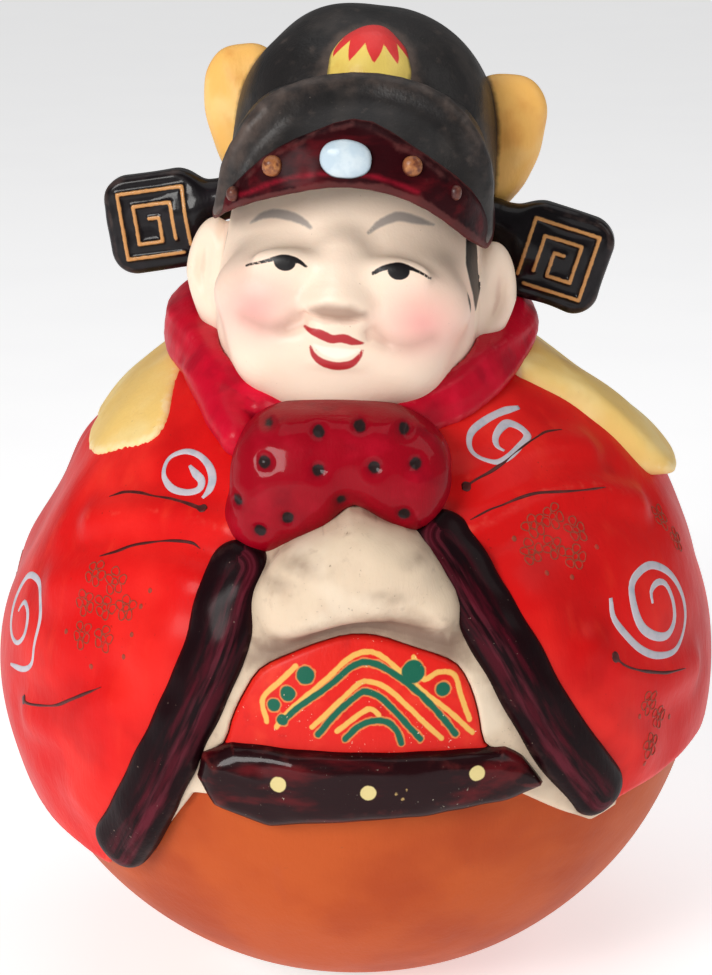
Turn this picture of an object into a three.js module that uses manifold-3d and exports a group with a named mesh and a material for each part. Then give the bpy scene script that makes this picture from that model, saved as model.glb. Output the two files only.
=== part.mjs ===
// A hand-painted hollow ceramic tumbler doll: a court official with a ball-shaped body, built from the
// separately cast or press-moulded pieces that a potter lutes together, with a ballast in its foot.
// Millimetres, +Z up, the doll faces -Y. "left" is the doll's own left, towards +X.
import * as THREE from "three";
import { mergeVertices } from "three/addons/utils/BufferGeometryUtils.js";
import Module from "manifold-3d";

const wasm = await Module();
wasm.setup();

// ---------- driving dimensions ----------

const GAP = 0.3; // slip joint between two pieces
const FAR = 200; // longer than anything on the doll

// The body casting's outer face is an ellipsoid, cut flat at z = 0 for the foot.
const BALL = { radii: [62.8, 61, 61], centre: [0, 0, 59] };
const WALL = 4; // thickness of the slip castings
const FILLER_RADIUS = 9; // filler hole in the foot
const PLUG_RECESS = 1.2; // the plug stays clear of the ground
const BALLAST_TOP = 22;

const ROBE = 2.6; // the robe's height over the body casting
const LINING = 1.9; // the white under-sleeves and the apron lie lower than the robe
const MANTLE = { height: 4.3, shift: 1.8, edge: 95, rise: -0.06 };
const ROBE_SPLIT = 24; // the sleeves end and the robe's back panel starts at this y

// Cuff centre lines, from the hands down and outwards, as [bearing, latitude] on the ball, in degrees.
const CUFF_RIGHT = [[-16, 31.5], [-21.4, 16.8], [-25, 7.4], [-29.6, -2.5], [-35.3, -12.1], [-46, -25]];
const CUFF_LEFT = [[12.5, 34], [17.9, 23], [23, 12.2], [30.9, 0.4], [39.5, -9.6], [45.5, -15.5]];
const CUFF = { width: [8, 10.5], height: 7.6, raise: 1.3 };
const HEM = { latitude: -5.2, from: -23.6, to: 27.2, width: 12.5, height: 9, raise: 0.8 };

const HANDS = { radii: [18.8, 12.6, 10.1], centre: [-0.5, -53.5, 87.2], fullness: 2.3 };
const BOW = { radii: [18.4, 11.4, 12.6], centre: [-2.3, -45.6, 101], fullness: 2.5 };
// The scarf's centre line on the doll's left, low under the chin and high behind.
const SCARF = { width: 13, height: 9, front: [-1, -37, 107.5], back: [-1, 23, 121] };
const SCARF_SIDE = [[14, -33, 109.5], [24, -20, 114], [28, -3, 118], [24, 14, 120.5]];

const HEAD_PIVOT = [-1.3, -10, 118]; // where the neck seats in the body
const HEAD_ROLL = THREE.MathUtils.degToRad(4.3); // the head leans to its left
const HEAD_YAW = THREE.MathUtils.degToRad(-5); // and looks to its right
const JAW = { radii: [22.5, 23, 20.1], centre: [0.2, -10, 6.9], fullness: 2.15 };
const CRANIUM = { radii: [21.5, 25, 20.5], centre: [0, -3, 20], fullness: 2 };
const EAR = { radii: [4.7, 5, 10], centre: [24.8, -3, 9.5], fullness: 2 };
const NECK = { radius: 15, bore: 11.5, bottom: -20, y: 2 };

// The hat's two tiers, cut along one edge that drops towards the back.
const HAT_FRONT = { radii: [22.2, 25.3, 18.8], centre: [0.4, -10, 27.6], fullness: 2.6 };
const HAT_CROWN = { radii: [23.5, 24, 28], centre: [0.6, 10, 29], fullness: 2.3 };
const HAT_EDGE = { y: -33, z: 31, slope: 0.476, nape: 9 };
const HAT_BAND = { thickness: 1.8, y: -33, z: 40.5, slope: 0.7, back: -3, lap: 1.2 };
const GEM = { radii: [4.3, 2.6, 3.4], x: 0, z: 36.2 };
const STUDS = { inner: { radius: 1.7, x: 11.8, z: 34 }, outer: { radius: 1.6, x: 18.2, z: 28.3 } };
const CREST = { radii: [8.6, 7, 9], centre: [0.4, -4.2, 44.6], fullness: 2 };
const WING = { x: 36, shift: -0.8, y: 12, z: 15.2, tilt: 13 };
const WING_PLATE = { size: 17.6, corner: 4.5, thickness: 5, bevel: 1.2 };
const WING_NECK = { radius: 3.2, length: 17, rise: 5.5 };
const LOBE = { radii: [7.2, 4.6, 13], taper: 0.25, lean: 5, y: 17, left: [23, 33.2], right: [-22.4, 34.5] };

// ---------- colours and finish of the paint ----------

const paint = (color, roughness) => new THREE.MeshStandardMaterial({ color, roughness, metalness: 0 });
const PAINT = {
  orange: paint(0xd8703a, 0.45),
  red: paint(0xdd2a20, 0.35),
  crimson: paint(0xb3112a, 0.35),
  maroon: paint(0x32080f, 0.25),
  black: paint(0x171415, 0.35),
  yellow: paint(0xe3bb63, 0.45),
  skin: paint(0xf1e2cf, 0.5),
  white: paint(0xd9cfc0, 0.5),
  gem: paint(0xb9cfdd, 0.3),
  gold: paint(0x9b6530, 0.4),
  plaster: paint(0xb9b4a8, 0.9),
  cork: paint(0xa8835a, 0.9),
};

// ---------- solids and meshes ----------

function solid(geometry) {
  const bare = geometry.clone();
  bare.deleteAttribute("normal");
  bare.deleteAttribute("uv");
  const merged = mergeVertices(bare, 1e-4);
  const mesh = new wasm.Mesh({
    numProp: 3,
    vertProperties: merged.attributes.position.array,
    triVerts: new Uint32Array(merged.index.array),
  });
  return new wasm.Manifold(mesh);
}

function geometryOf(body) {
  const made = body.getMesh();
  const points = new Float32Array(made.numVert * 3);
  for (let i = 0; i < made.numVert; i++) {
    points.set(made.vertProperties.subarray(i * made.numProp, i * made.numProp + 3), i * 3);
  }
  const geometry = new THREE.BufferGeometry();
  geometry.setAttribute("position", new THREE.BufferAttribute(points, 3));
  geometry.setIndex(new THREE.BufferAttribute(made.triVerts, 1));
  geometry.computeVertexNormals();
  return geometry;
}

function mesh(name, body, material) {
  const part = new THREE.Mesh(geometryOf(body), material);
  part.name = name;
  return part;
}

const cut = (body, ...others) => others.reduce((left, other) => left.subtract(other), body);
const join = (...bodies) => bodies.reduce((left, other) => left.add(other));

// Moves every vertex of a geometry to where place puts it.
function reshape(geometry, place) {
  const points = geometry.attributes.position;
  const p = new THREE.Vector3();
  for (let i = 0; i < points.count; i++) {
    const q = place(p.fromBufferAttribute(points, i));
    points.setXYZ(i, q.x, q.y, q.z);
  }
  return geometry;
}

// ---------- basic forms ----------

// A rounded form: an ellipsoid at fullness 2, squarer as fullness rises.
function rounded({ radii, centre, fullness = 2 }, grow = 0, across = 20, down = 14) {
  const geometry = new THREE.SphereGeometry(1, across, down);
  geometry.rotateX(Math.PI / 2);
  reshape(geometry, (p) => {
    const sum = Math.abs(p.x) ** fullness + Math.abs(p.y) ** fullness + Math.abs(p.z) ** fullness;
    return p.multiplyScalar(sum ** (-1 / fullness));
  });
  geometry.scale(radii[0] + grow, radii[1] + grow, radii[2] + grow);
  geometry.translate(...centre);
  return solid(geometry);
}

function box(low, high) {
  const geometry = new THREE.BoxGeometry(high[0] - low[0], high[1] - low[1], high[2] - low[2]);
  geometry.translate((low[0] + high[0]) / 2, (low[1] + high[1]) / 2, (low[2] + high[2]) / 2);
  return solid(geometry);
}

function cylinder(radius, bottom, top, y = 0) {
  const geometry = new THREE.CylinderGeometry(radius, radius, top - bottom, 32);
  geometry.rotateX(Math.PI / 2);
  geometry.translate(0, y, (top + bottom) / 2);
  return solid(geometry);
}

// Everything over the plane z = height + riseX * x + riseY * y.
function above(height, riseX = 0, riseY = 0) {
  const geometry = new THREE.BoxGeometry(2 * FAR, 2 * FAR, FAR);
  geometry.translate(0, 0, FAR / 2);
  return solid(reshape(geometry, (p) => p.setZ(p.z + height + riseX * p.x + riseY * p.y)));
}

// An outline of [x, z] points, extruded from y = back to far in front.
function frontal(outline, back = -20) {
  const shape = new THREE.Shape(outline.map(([x, z]) => new THREE.Vector2(x, z)));
  const geometry = new THREE.ExtrudeGeometry(shape, { depth: FAR, bevelEnabled: false });
  geometry.rotateX(Math.PI / 2);
  geometry.translate(0, back, 0);
  return solid(geometry);
}

// An outline of [x, y] points, extruded up through everything.
function upright(outline) {
  const shape = new THREE.Shape(outline.map(([x, y]) => new THREE.Vector2(x, y)));
  return solid(new THREE.ExtrudeGeometry(shape, { depth: FAR, bevelEnabled: false }));
}

// Puts p.y along a curve, p.x across it and p.z off the surface that the curve lies on.
function alongCurve(curve, t, off, across, over, past = 0) {
  const centre = curve.getPointAt(t);
  const along = curve.getTangentAt(t);
  const up = off(centre);
  up.addScaledVector(along, -up.dot(along)).normalize();
  const side = new THREE.Vector3().crossVectors(along, up);
  return centre.addScaledVector(side, across).addScaledVector(up, over).addScaledVector(along, past);
}

const fromBallCentre = (p) => p.clone().sub(new THREE.Vector3(...BALL.centre));

// A padded strip with round ends: a capsule bent along a line that lies on the ball.
function strip(points, width, height, grow = 0) {
  const curve = new THREE.CatmullRomCurve3(points.map((p) => new THREE.Vector3(...p)));
  const half = curve.getLength() / width[1]; // half its length, in widths at its end
  const geometry = new THREE.CapsuleGeometry(1, 2 * (half - 1), 3, 10, 10);
  reshape(geometry, (p) => {
    const t = THREE.MathUtils.clamp((p.y / half + 1) / 2, 0, 1);
    const halfWidth = THREE.MathUtils.lerp(width[0], width[1], t) / 2 + grow;
    const past = (2 * t - 1) * grow;
    return alongCurve(curve, t, fromBallCentre, p.x * halfWidth, p.z * (height / 2 + grow), past);
  });
  return solid(geometry);
}

// A closed padded ring: a torus laid along a closed line.
function ring(points, width, height, off, grow = 0) {
  const curve = new THREE.CatmullRomCurve3(points.map((p) => new THREE.Vector3(...p)), true);
  const geometry = new THREE.TorusGeometry(2, 1, 8, 26);
  reshape(geometry, (p) => {
    const turn = Math.atan2(p.y, p.x) / (2 * Math.PI);
    const t = turn < -1e-6 ? turn + 1 : Math.max(turn, 0);
    const across = (Math.hypot(p.x, p.y) - 2) * (width / 2 + grow);
    return alongCurve(curve, t, off, across, p.z * (height / 2 + grow));
  });
  return solid(geometry);
}

// The point of the ball, raised by offset, at a bearing from the front (towards +X) and a latitude.
function onBall(bearing, latitude, offset) {
  const a = THREE.MathUtils.degToRad(bearing);
  const l = THREE.MathUtils.degToRad(latitude);
  const d = new THREE.Vector3(Math.sin(a) * Math.cos(l), -Math.cos(a) * Math.cos(l), Math.sin(l));
  const [x, y, z] = BALL.radii.map((r) => r + offset);
  d.multiplyScalar(1 / Math.hypot(d.x / x, d.y / y, d.z / z));
  return d.add(new THREE.Vector3(...BALL.centre)).toArray();
}

const ball = (grow) => rounded(BALL, grow, 28, 18);
const cavity = (grow) => rounded(BALL, grow - WALL, 20, 14);
const layer = (from, to) => ball(to).subtract(ball(from));

// ---------- the head, in its own frame with the origin at the neck pivot ----------

const headGroup = new THREE.Group();
headGroup.position.set(...HEAD_PIVOT);
headGroup.rotation.set(0, HEAD_ROLL, HEAD_YAW, "YZX");
headGroup.updateMatrixWorld(true);
const inBodyFrame = (body) => solid(geometryOf(body).applyMatrix4(headGroup.matrixWorld));
const mirrored = ([x, y, z]) => [-x, y, z];

function headForm(grow, across, down) {
  return join(rounded(JAW, grow, across, down), rounded(CRANIUM, grow, across, down));
}

function ears(grow) {
  const other = { ...EAR, centre: mirrored(EAR.centre) };
  return join(rounded(EAR, grow, 12, 8), rounded(other, grow, 12, 8));
}

function head() {
  const spigot = cylinder(NECK.radius, NECK.bottom, 0, NECK.y);
  const bore = cylinder(NECK.bore, NECK.bottom - 1, 4, NECK.y);
  return cut(join(headForm(0), ears(0), spigot), headForm(-WALL, 12, 10), bore);
}

const hatEdge = (lower) => above(HAT_EDGE.z + HAT_EDGE.slope * HAT_EDGE.y - lower, 0, -HAT_EDGE.slope);

function hood(grow) {
  return rounded(HAT_CROWN, grow).intersect(hatEdge(grow)).intersect(above(HAT_EDGE.nape - grow));
}

const hatCrown = (sockets) => cut(hood(0), headForm(GAP), ears(GAP), ...sockets);

function hatFront() {
  const cap = rounded(HAT_FRONT).intersect(hatEdge(-HAT_BAND.lap));
  return cut(cap, headForm(GAP), ears(GAP), rounded(HAT_CROWN, GAP));
}

// The band is a crescent, deepest over the forehead and running out at the sides.
function hatBand() {
  const { thickness, y, z, slope, back } = HAT_BAND;
  const wrap = cut(rounded(HAT_FRONT, thickness), rounded(HAT_FRONT, GAP), rounded(HAT_CROWN, GAP));
  const crescent = cut(wrap.intersect(hatEdge(0)), above(z + slope * y, 0, -slope));
  return cut(crescent, box([-FAR, back, -FAR], [FAR, FAR, FAR]), headForm(GAP), ears(GAP));
}

// The band's outer face, at x and z.
function onHatBand(x, z) {
  const [a, b, c] = HAT_FRONT.radii.map((r) => r + HAT_BAND.thickness);
  const n = HAT_FRONT.fullness;
  const rest = 1 - Math.abs(x / a) ** n - Math.abs((z - HAT_FRONT.centre[2]) / c) ** n;
  return [x, HAT_FRONT.centre[1] - b * rest ** (1 / n), z];
}

function bandOrnament(radii, x, z) {
  const bead = rounded({ radii, centre: onHatBand(x, z), fullness: 2.2 }, 0, 10, 6);
  return cut(bead, rounded(HAT_FRONT, HAT_BAND.thickness + GAP));
}

const stud = ({ radius, x, z }, side) => bandOrnament([radius, radius, radius], x * side, z);

const hatCrest = () => cut(rounded(CREST, 0, 16, 10), rounded(HAT_CROWN, GAP), rounded(HAT_FRONT, GAP));

// A rounded square plate that faces the front, on a short neck, for side 1 (left) or -1 (right).
function hatWing(side, grow = 0) {
  const { size, corner, thickness, bevel } = WING_PLATE;
  const half = size / 2 - bevel;
  const r = corner - bevel;
  const shape = new THREE.Shape();
  shape.moveTo(-half + r, -half);
  shape.lineTo(half - r, -half);
  shape.absarc(half - r, -half + r, r, -Math.PI / 2, 0);
  shape.lineTo(half, half - r);
  shape.absarc(half - r, half - r, r, 0, Math.PI / 2);
  shape.lineTo(-half + r, half);
  shape.absarc(-half + r, half - r, r, Math.PI / 2, Math.PI);
  shape.lineTo(-half, -half + r);
  shape.absarc(-half + r, -half + r, r, Math.PI, 1.5 * Math.PI);
  const depth = thickness - 2 * bevel;
  const edge = { bevelThickness: bevel + grow, bevelSize: bevel + grow, bevelSegments: 2 };
  const plate = new THREE.ExtrudeGeometry(shape, { depth, curveSegments: 4, ...edge });
  plate.translate(0, 0, -depth / 2);
  plate.rotateX(Math.PI / 2);
  plate.rotateY(THREE.MathUtils.degToRad(-WING.tilt * side));
  plate.translate(WING.x * side + WING.shift, WING.y, WING.z);
  const neckRadius = WING_NECK.radius + grow;
  const neck = new THREE.CylinderGeometry(neckRadius, neckRadius, WING_NECK.length, 12);
  neck.rotateZ(Math.PI / 2);
  neck.translate((WING.x + 1 - WING_NECK.length / 2) * side + WING.shift, WING.y, WING.z + WING_NECK.rise);
  return join(solid(plate), solid(neck));
}

// A yellow lobe behind the crown, wider at its top and leaning outwards.
function hatLobe([x, z], side) {
  const geometry = new THREE.SphereGeometry(1, 14, 10);
  geometry.rotateX(Math.PI / 2);
  reshape(geometry, (p) => p.setX(p.x * (1 + LOBE.taper * p.z)));
  geometry.scale(...LOBE.radii);
  geometry.rotateY(THREE.MathUtils.degToRad(LOBE.lean * side));
  geometry.translate(x, LOBE.y, z);
  return cut(solid(geometry), rounded(HAT_CROWN, GAP), hatWing(side, GAP));
}

// ---------- the body and what is luted onto it ----------

// What the head takes out of the pieces round the neck.
function headSeat() {
  const neck = cylinder(NECK.radius + GAP, NECK.bottom - 1, 0, NECK.y);
  return inBodyFrame(join(headForm(GAP), ears(GAP), hood(GAP), neck));
}

function bodyShell() {
  const hollow = cavity(0).intersect(above(WALL));
  const hole = cylinder(FILLER_RADIUS, -1, WALL + 1);
  return cut(ball(0).intersect(above(0)), hollow, hole, headSeat());
}

const ballast = () => cut(cavity(-GAP).intersect(above(WALL + GAP)), above(BALLAST_TOP));
const fillerPlug = () => cylinder(FILLER_RADIUS - GAP, PLUG_RECESS, WALL);

const hands = (grow = 0) => rounded(HANDS, grow);
const bow = (grow = 0) => rounded(BOW, grow);

function cuff(route, grow = 0) {
  const points = route.map(([bearing, latitude]) => onBall(bearing, latitude, CUFF.raise));
  return cut(strip(points, CUFF.width, CUFF.height, grow), ball(GAP - grow), bow(GAP - grow));
}

const cuffs = (grow) => join(cuff(CUFF_LEFT, grow), cuff(CUFF_RIGHT, grow));

function apronHem(grow = 0) {
  const points = [];
  for (let i = 0; i <= 6; i++) {
    const bearing = THREE.MathUtils.lerp(HEM.from, HEM.to, i / 6);
    points.push(onBall(bearing, HEM.latitude, HEM.raise));
  }
  return cut(strip(points, [HEM.width, HEM.width], HEM.height, grow), ball(GAP - grow), cuffs(GAP - grow));
}

const scarfOtherSide = SCARF_SIDE.map(([x, y, z]) => [SCARF.front[0] * 2 - x, y, z]).reverse();
const SCARF_LINE = [SCARF.front, ...SCARF_SIDE, SCARF.back, ...scarfOtherSide];

// The scarf is a ring round the neck; its section leans outwards like a collar.
function scarf(grow = 0) {
  const outwards = (p) => new THREE.Vector3(p.x, p.y + 6, 14);
  return ring(SCARF_LINE, SCARF.width, SCARF.height, outwards, grow);
}

// The robe and the mantle stop under the scarf.
const underScarf = (grow) => join(scarf(grow), upright(SCARF_LINE.map(([x, y]) => [x, y])));

// Seen from above, the mantle lies over the shoulders and back, further forward on the doll's right.
const MANTLE_FRONT = [[40, -4], [0, 4], [-30, -6], [-32, -24], [-35, -45]];
const MANTLE_PLAN = [...MANTLE_FRONT, [-90, -45], [-90, 90], [90, 90], [90, -7]];
function mantle(grow = 0) {
  const [x, y, z] = BALL.centre;
  const form = { radii: BALL.radii, centre: [x + MANTLE.shift, y, z] };
  const cover = rounded(form, MANTLE.height + grow, 28, 18);
  const shape = cover.intersect(upright(MANTLE_PLAN)).intersect(above(MANTLE.edge - grow, MANTLE.rise));
  return cut(shape, ball(GAP - grow));
}

// Seen from the front: the robe's opening, bounded by the cuffs' centre lines.
const OPENING_TOP = [[45, 42.5], [41.2, 48.2], [33.8, 59.4], [25.2, 72.5], [18.6, 84], [13.7, 93],
  [-13, 95], [-18.1, 89], [-23, 77.5], [-27.6, 67.3], [-32.5, 56], [-37.2, 45.5], [-42.4, 33.6]];
const LINING_FOOT = [[-37.5, 33], [-27, 50], [27, 50], [40, 41]];
const LINING_REACH = [7, 38.5]; // the linings run from under the hands to the cuffs' ends, in x
const APRON = [[-20.3, 55], [-19.8, 64], [-17, 69.5], [-10, 74.5], [-3, 77.6],
  [4, 77.2], [9, 75.8], [15, 72.5], [18.4, 67.5], [20.4, 55]];

// The outline moved about by the slip joint's width, to clear a neighbour on every side.
function around(outline) {
  const moves = [[GAP, 0], [-GAP, 0], [0, GAP], [0, -GAP]];
  return join(...moves.map(([dx, dz]) => frontal(outline.map(([x, z]) => [x + dx, z + dz]))));
}

const apronPanel = () => cut(layer(GAP, LINING).intersect(frontal(APRON)), apronHem(GAP), hands(GAP));

function underSleeve(side) {
  const top = HANDS.centre[2] - 9;
  const [inner, outer] = LINING_REACH;
  const low = side > 0 ? [inner, -FAR, 0] : [-outer, -FAR, 0];
  const high = side > 0 ? [outer, 0, top] : [-inner, 0, top];
  const lining = layer(GAP, LINING).intersect(frontal([...OPENING_TOP, ...LINING_FOOT]));
  return cut(lining.intersect(box(low, high)), around(APRON), apronHem(GAP), hands(GAP), cuffs(GAP));
}

// The hands lie between the cuffs, and narrow towards the bow.
const HANDS_OUTLINE = [[9, 97], [-9.5, 97], [-24, 72], [24, 72]];
const claspedHands = () => cut(hands().intersect(frontal(HANDS_OUTLINE)), ball(GAP), bow(GAP), cuffs(GAP));

// The robe's lower edge is level behind, and in front it drops to the doll's right.
function robe() {
  const hem = join(above(46), above(45.5, 0.15, 0.25));
  const foot = [[-42.4, 0], [45, 0]];
  const opening = frontal([...OPENING_TOP, ...foot]);
  const cloth = cut(layer(GAP, ROBE).intersect(hem), opening, cuffs(GAP), apronHem(GAP));
  return cut(cloth, bow(GAP), hands(GAP), underScarf(GAP), mantle(GAP), headSeat());
}

function sleeve(side) {
  const low = side > 0 ? [GAP / 2, -FAR, 0] : [-FAR, -FAR, 0];
  const high = side > 0 ? [FAR, ROBE_SPLIT - GAP, FAR] : [-GAP / 2, ROBE_SPLIT - GAP, FAR];
  return robe().intersect(box(low, high));
}

const robeBack = () => robe().intersect(box([-FAR, ROBE_SPLIT, 0], [FAR, FAR, FAR]));

const wingSockets = [hatWing(1, GAP), hatWing(-1, GAP)];
const neckScarf = () => cut(scarf(), ball(GAP), bow(GAP), headSeat(), inBodyFrame(join(...wingSockets)));
const shoulderMantle = () => cut(mantle(), underScarf(GAP), headSeat());
const dottedBow = () => cut(bow(), ball(GAP), headSeat());

// ---------- the assembly ----------

headGroup.add(
  mesh("head", head(), PAINT.skin),
  mesh("hat_front", hatFront(), PAINT.black),
  mesh("hat_crown", hatCrown(wingSockets), PAINT.black),
  mesh("hat_band", hatBand(), PAINT.maroon),
  mesh("hat_gem", bandOrnament(GEM.radii, GEM.x, GEM.z), PAINT.gem),
  mesh("hat_crest", hatCrest(), PAINT.yellow),
);
for (const [name, side] of [["left", 1], ["right", -1]]) {
  headGroup.add(
    mesh("hat_wing_" + name, hatWing(side), PAINT.black),
    mesh("hat_lobe_" + name, hatLobe(LOBE[name], side), PAINT.yellow),
    mesh("hat_stud_inner_" + name, stud(STUDS.inner, side), PAINT.gold),
    mesh("hat_stud_outer_" + name, stud(STUDS.outer, side), PAINT.gold),
  );
}

const doll = new THREE.Group();
doll.add(
  mesh("body_shell", bodyShell(), PAINT.orange),
  mesh("ballast", ballast(), PAINT.plaster),
  mesh("filler_plug", fillerPlug(), PAINT.cork),
  mesh("apron_panel", apronPanel(), PAINT.red),
  mesh("apron_hem", apronHem(), PAINT.maroon),
  mesh("clasped_hands", claspedHands(), PAINT.white),
  mesh("under_sleeve_left", underSleeve(1), PAINT.white),
  mesh("under_sleeve_right", underSleeve(-1), PAINT.white),
  mesh("cuff_left", cuff(CUFF_LEFT), PAINT.maroon),
  mesh("cuff_right", cuff(CUFF_RIGHT), PAINT.maroon),
  mesh("sleeve_left", sleeve(1), PAINT.red),
  mesh("sleeve_right", sleeve(-1), PAINT.red),
  mesh("robe_back", robeBack(), PAINT.red),
  mesh("shoulder_mantle", shoulderMantle(), PAINT.yellow),
  mesh("neck_scarf", neckScarf(), PAINT.crimson),
  mesh("dotted_bow", dottedBow(), PAINT.crimson),
  headGroup,
);

// The origin is under the middle of the doll's bounding box, on the surface that it stands on.
const bounds = new THREE.Box3().setFromObject(doll, true);
doll.position.set(-(bounds.min.x + bounds.max.x) / 2, -(bounds.min.y + bounds.max.y) / 2, 0);

export default doll;
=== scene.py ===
"""A hand-painted hollow pottery tumbler doll, a court official with a ball-shaped body.

Shapes are signed distance fields in millimetres, in the CAD part's own axes (+Z up, facing -Y), skinned
with closed meshes and placed in the frame in metres. "left" is the doll's own left, towards +X.
"""
import math
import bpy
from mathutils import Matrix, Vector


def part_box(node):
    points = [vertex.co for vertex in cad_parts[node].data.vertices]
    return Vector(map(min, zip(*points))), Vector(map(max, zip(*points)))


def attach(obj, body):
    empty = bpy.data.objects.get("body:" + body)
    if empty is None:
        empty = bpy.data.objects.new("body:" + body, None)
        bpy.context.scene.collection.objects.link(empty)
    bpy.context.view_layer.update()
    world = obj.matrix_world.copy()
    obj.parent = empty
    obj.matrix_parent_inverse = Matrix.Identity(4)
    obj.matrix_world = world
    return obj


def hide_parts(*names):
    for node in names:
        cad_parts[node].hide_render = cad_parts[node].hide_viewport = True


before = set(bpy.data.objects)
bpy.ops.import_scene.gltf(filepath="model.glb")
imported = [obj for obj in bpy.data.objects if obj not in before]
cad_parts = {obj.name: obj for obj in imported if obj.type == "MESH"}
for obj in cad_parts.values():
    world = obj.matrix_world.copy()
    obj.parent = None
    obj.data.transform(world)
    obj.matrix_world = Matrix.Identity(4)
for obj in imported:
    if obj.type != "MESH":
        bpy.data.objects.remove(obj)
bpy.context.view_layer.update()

from concurrent.futures import ThreadPoolExecutor
from functools import partial

import bmesh
import bpy
import numpy as np
from mathutils import Vector

MM = 0.001

# ---------- driving dimensions, as in the CAD part ----------

BALL_RADII, BALL_CENTRE = (62.8, 61, 61), (0, 0, 59)
WALL = 4
HEAD_GAP = 0.3
FILLER_RADIUS = 9
ROBE, LINING = 2.6, 1.9
ROBE_RADIUS = 62  # roughly, to turn millimetres on the robe into degrees
EMBED = 1.2  # how far a luted piece sinks into the body

CUFF_RIGHT = [(-20, 27), (-21, 23), (-22, 16), (-25.7, 5.8), (-29.9, -3), (-35.6, -12.5), (-42.2, -20.6)]
CUFF_LEFT = [(15.4, 32), (17.5, 28.4), (20, 22.7), (24.3, 14.3), (28.2, 6.4), (33.4, -1.8), (40.6, -10)]
CUFF_WIDTH, CUFF_HEIGHT, CUFF_RAISE = (11, 10.6), 7.6, 1.3
HEM_LATITUDE, HEM_ENDS, HEM_WIDTH, HEM_HEIGHT, HEM_RAISE = -5.2, (-25, 30), 12.5, 9, 0.8

HANDS = dict(radii=(21, 13, 14), centre=(0, -52.5, 87.5), fullness=2.3)
BOW = dict(radii=(22.6, 12.2, 15), centre=(-2.9, -45.2, 100.4), fullness=2.4)
SCARF_WIDTH, SCARF_HEIGHT = 10, 8.4
SCARF_FRONT, SCARF_BACK = (-1, -38, 110), (-1, 23, 121)
SCARF_SIDE = [(13, -34, 112), (22.5, -21.5, 115.6), (27.6, -3, 118.6), (24, 14, 120.5)]

HEAD_PIVOT = np.array([-1.3, -10, 118])
HEAD_ROLL, HEAD_YAW = math.radians(4.3), math.radians(-5)
JAW = dict(radii=(22.5, 23, 20.1), centre=(0.2, -10, 6.9), fullness=2.15)
CRANIUM = dict(radii=(21.5, 25, 20.5), centre=(0, -3, 20))
NECK_RADIUS, NECK_BOTTOM, NECK_Y = 15, -20, 2
HAT_FRONT = dict(radii=(22.2, 25.3, 18.8), centre=(0.4, -10, 27.6), fullness=2.6)
HAT_CROWN = dict(radii=(23.3, 24, 28), centre=(-0.3, 10, 29), fullness=2.3)
HAT_EDGE_Y, HAT_EDGE_Z, HAT_EDGE_SLOPE, HAT_NAPE = -33, 31, 0.476, 9
BAND_THICKNESS, BAND_BACK = 1.8, -3
WING_X, WING_SHIFT, WING_Y, WING_Z, WING_TILT = 36, -0.8, 12, 15.2, math.radians(13)
WING_SIZE, WING_CORNER, WING_THICKNESS = 17.6, 4.5, 5
WING_NECK_RADIUS, WING_NECK_RISE = 3.2, 5.5
WING_ROUNDING, FRET_RISE, FRET_WIDTH = 1.4, 0.4, 0.45

MANTLE_HEIGHT, MANTLE_SHIFT, MANTLE_EDGE, MANTLE_RISE = 4.3, 1.8, 95.6, -0.04
MANTLE_PLAN = [
    (54, -15.5), (41, -18), (28, -20), (0, -6), (-29, -8), (-31.5, -24), (-34, -45), (-90, -45), (-90, 90),
    (90, 90), (90, -13)]
MANTLE_TIP = 97.3, 0.46, -47.4  # in front on the right: its height, slope across and x

# Outlines seen from the front, as (x, z).
OPENING = [
    (45, 42.5), (41.2, 48.2), (33.8, 59.4), (25.2, 72.5), (18.6, 84), (13.7, 93), (-13, 95), (-18.1, 89),
    (-23, 77.5), (-27.6, 67.3), (-32.5, 56), (-37.2, 45.5), (-42.4, 33.6)]
OPENING_FOOT = [(-42.4, 0), (45, 0)]
LINING_FOOT = [(-37.5, 33), (-27, 50), (27, 50), (40, 41)]
APRON = [
    (-21.4, 55), (-21, 60.8), (-20.1, 64.6), (-18.1, 68.9), (-15.3, 72.9), (-10.2, 75.6), (-5.8, 77.4),
    (-1.5, 78.6), (3.1, 78.4), (8.3, 76.9), (13.7, 74.9), (16.6, 73.1), (18.6, 69.7), (19.9, 65.5),
    (20.6, 60.8), (21, 55)]
HEM_OUTLINE = [
    (-26.4, 54), (-25, 57.9), (-20.6, 61), (-15.5, 60.7), (-2.6, 60.2), (12.9, 60), (22.2, 59.9),
    (24.6, 59.6), (27.5, 57), (31.4, 51.6), (26.8, 50.3), (13, 48.6), (-2.6, 47), (-14.4, 45.4),
    (-23.6, 49.2)]
HANDS_OUTLINE = [
    (-15, 88), (-16.9, 82.6), (-17.6, 78), (-15.6, 75.4), (-11.5, 76.6), (-7.4, 79), (-1.8, 81.2),
    (4.7, 81.4), (10.3, 79.4), (15.2, 77.2), (17.6, 79.4), (17.4, 84.2), (14.6, 88.5), (12.6, 92),
    (9.4, 94.8), (4.4, 96.6), (-0.4, 99.4), (-4.4, 96.4), (-11.4, 93)]
BOW_OUTLINE = [
    (-9.5, 115.6), (-1.8, 115.8), (5.9, 115.4), (10.6, 113.4), (14, 110.2), (15.9, 105.6), (15.6, 100.2),
    (13.4, 95.4), (9.3, 93.8), (3.9, 96.2), (-0.6, 98.4), (-2.8, 96.4), (-7, 93.8), (-12, 90.6),
    (-15.6, 88.8), (-19.8, 89.4), (-22, 94.3), (-21, 100.4), (-20.1, 107.2), (-18, 112), (-14.3, 114.8)]


# ---------- distance fields: negative inside, in millimetres ----------

def length(v):
    return np.sqrt((v * v).sum(-1))


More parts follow.
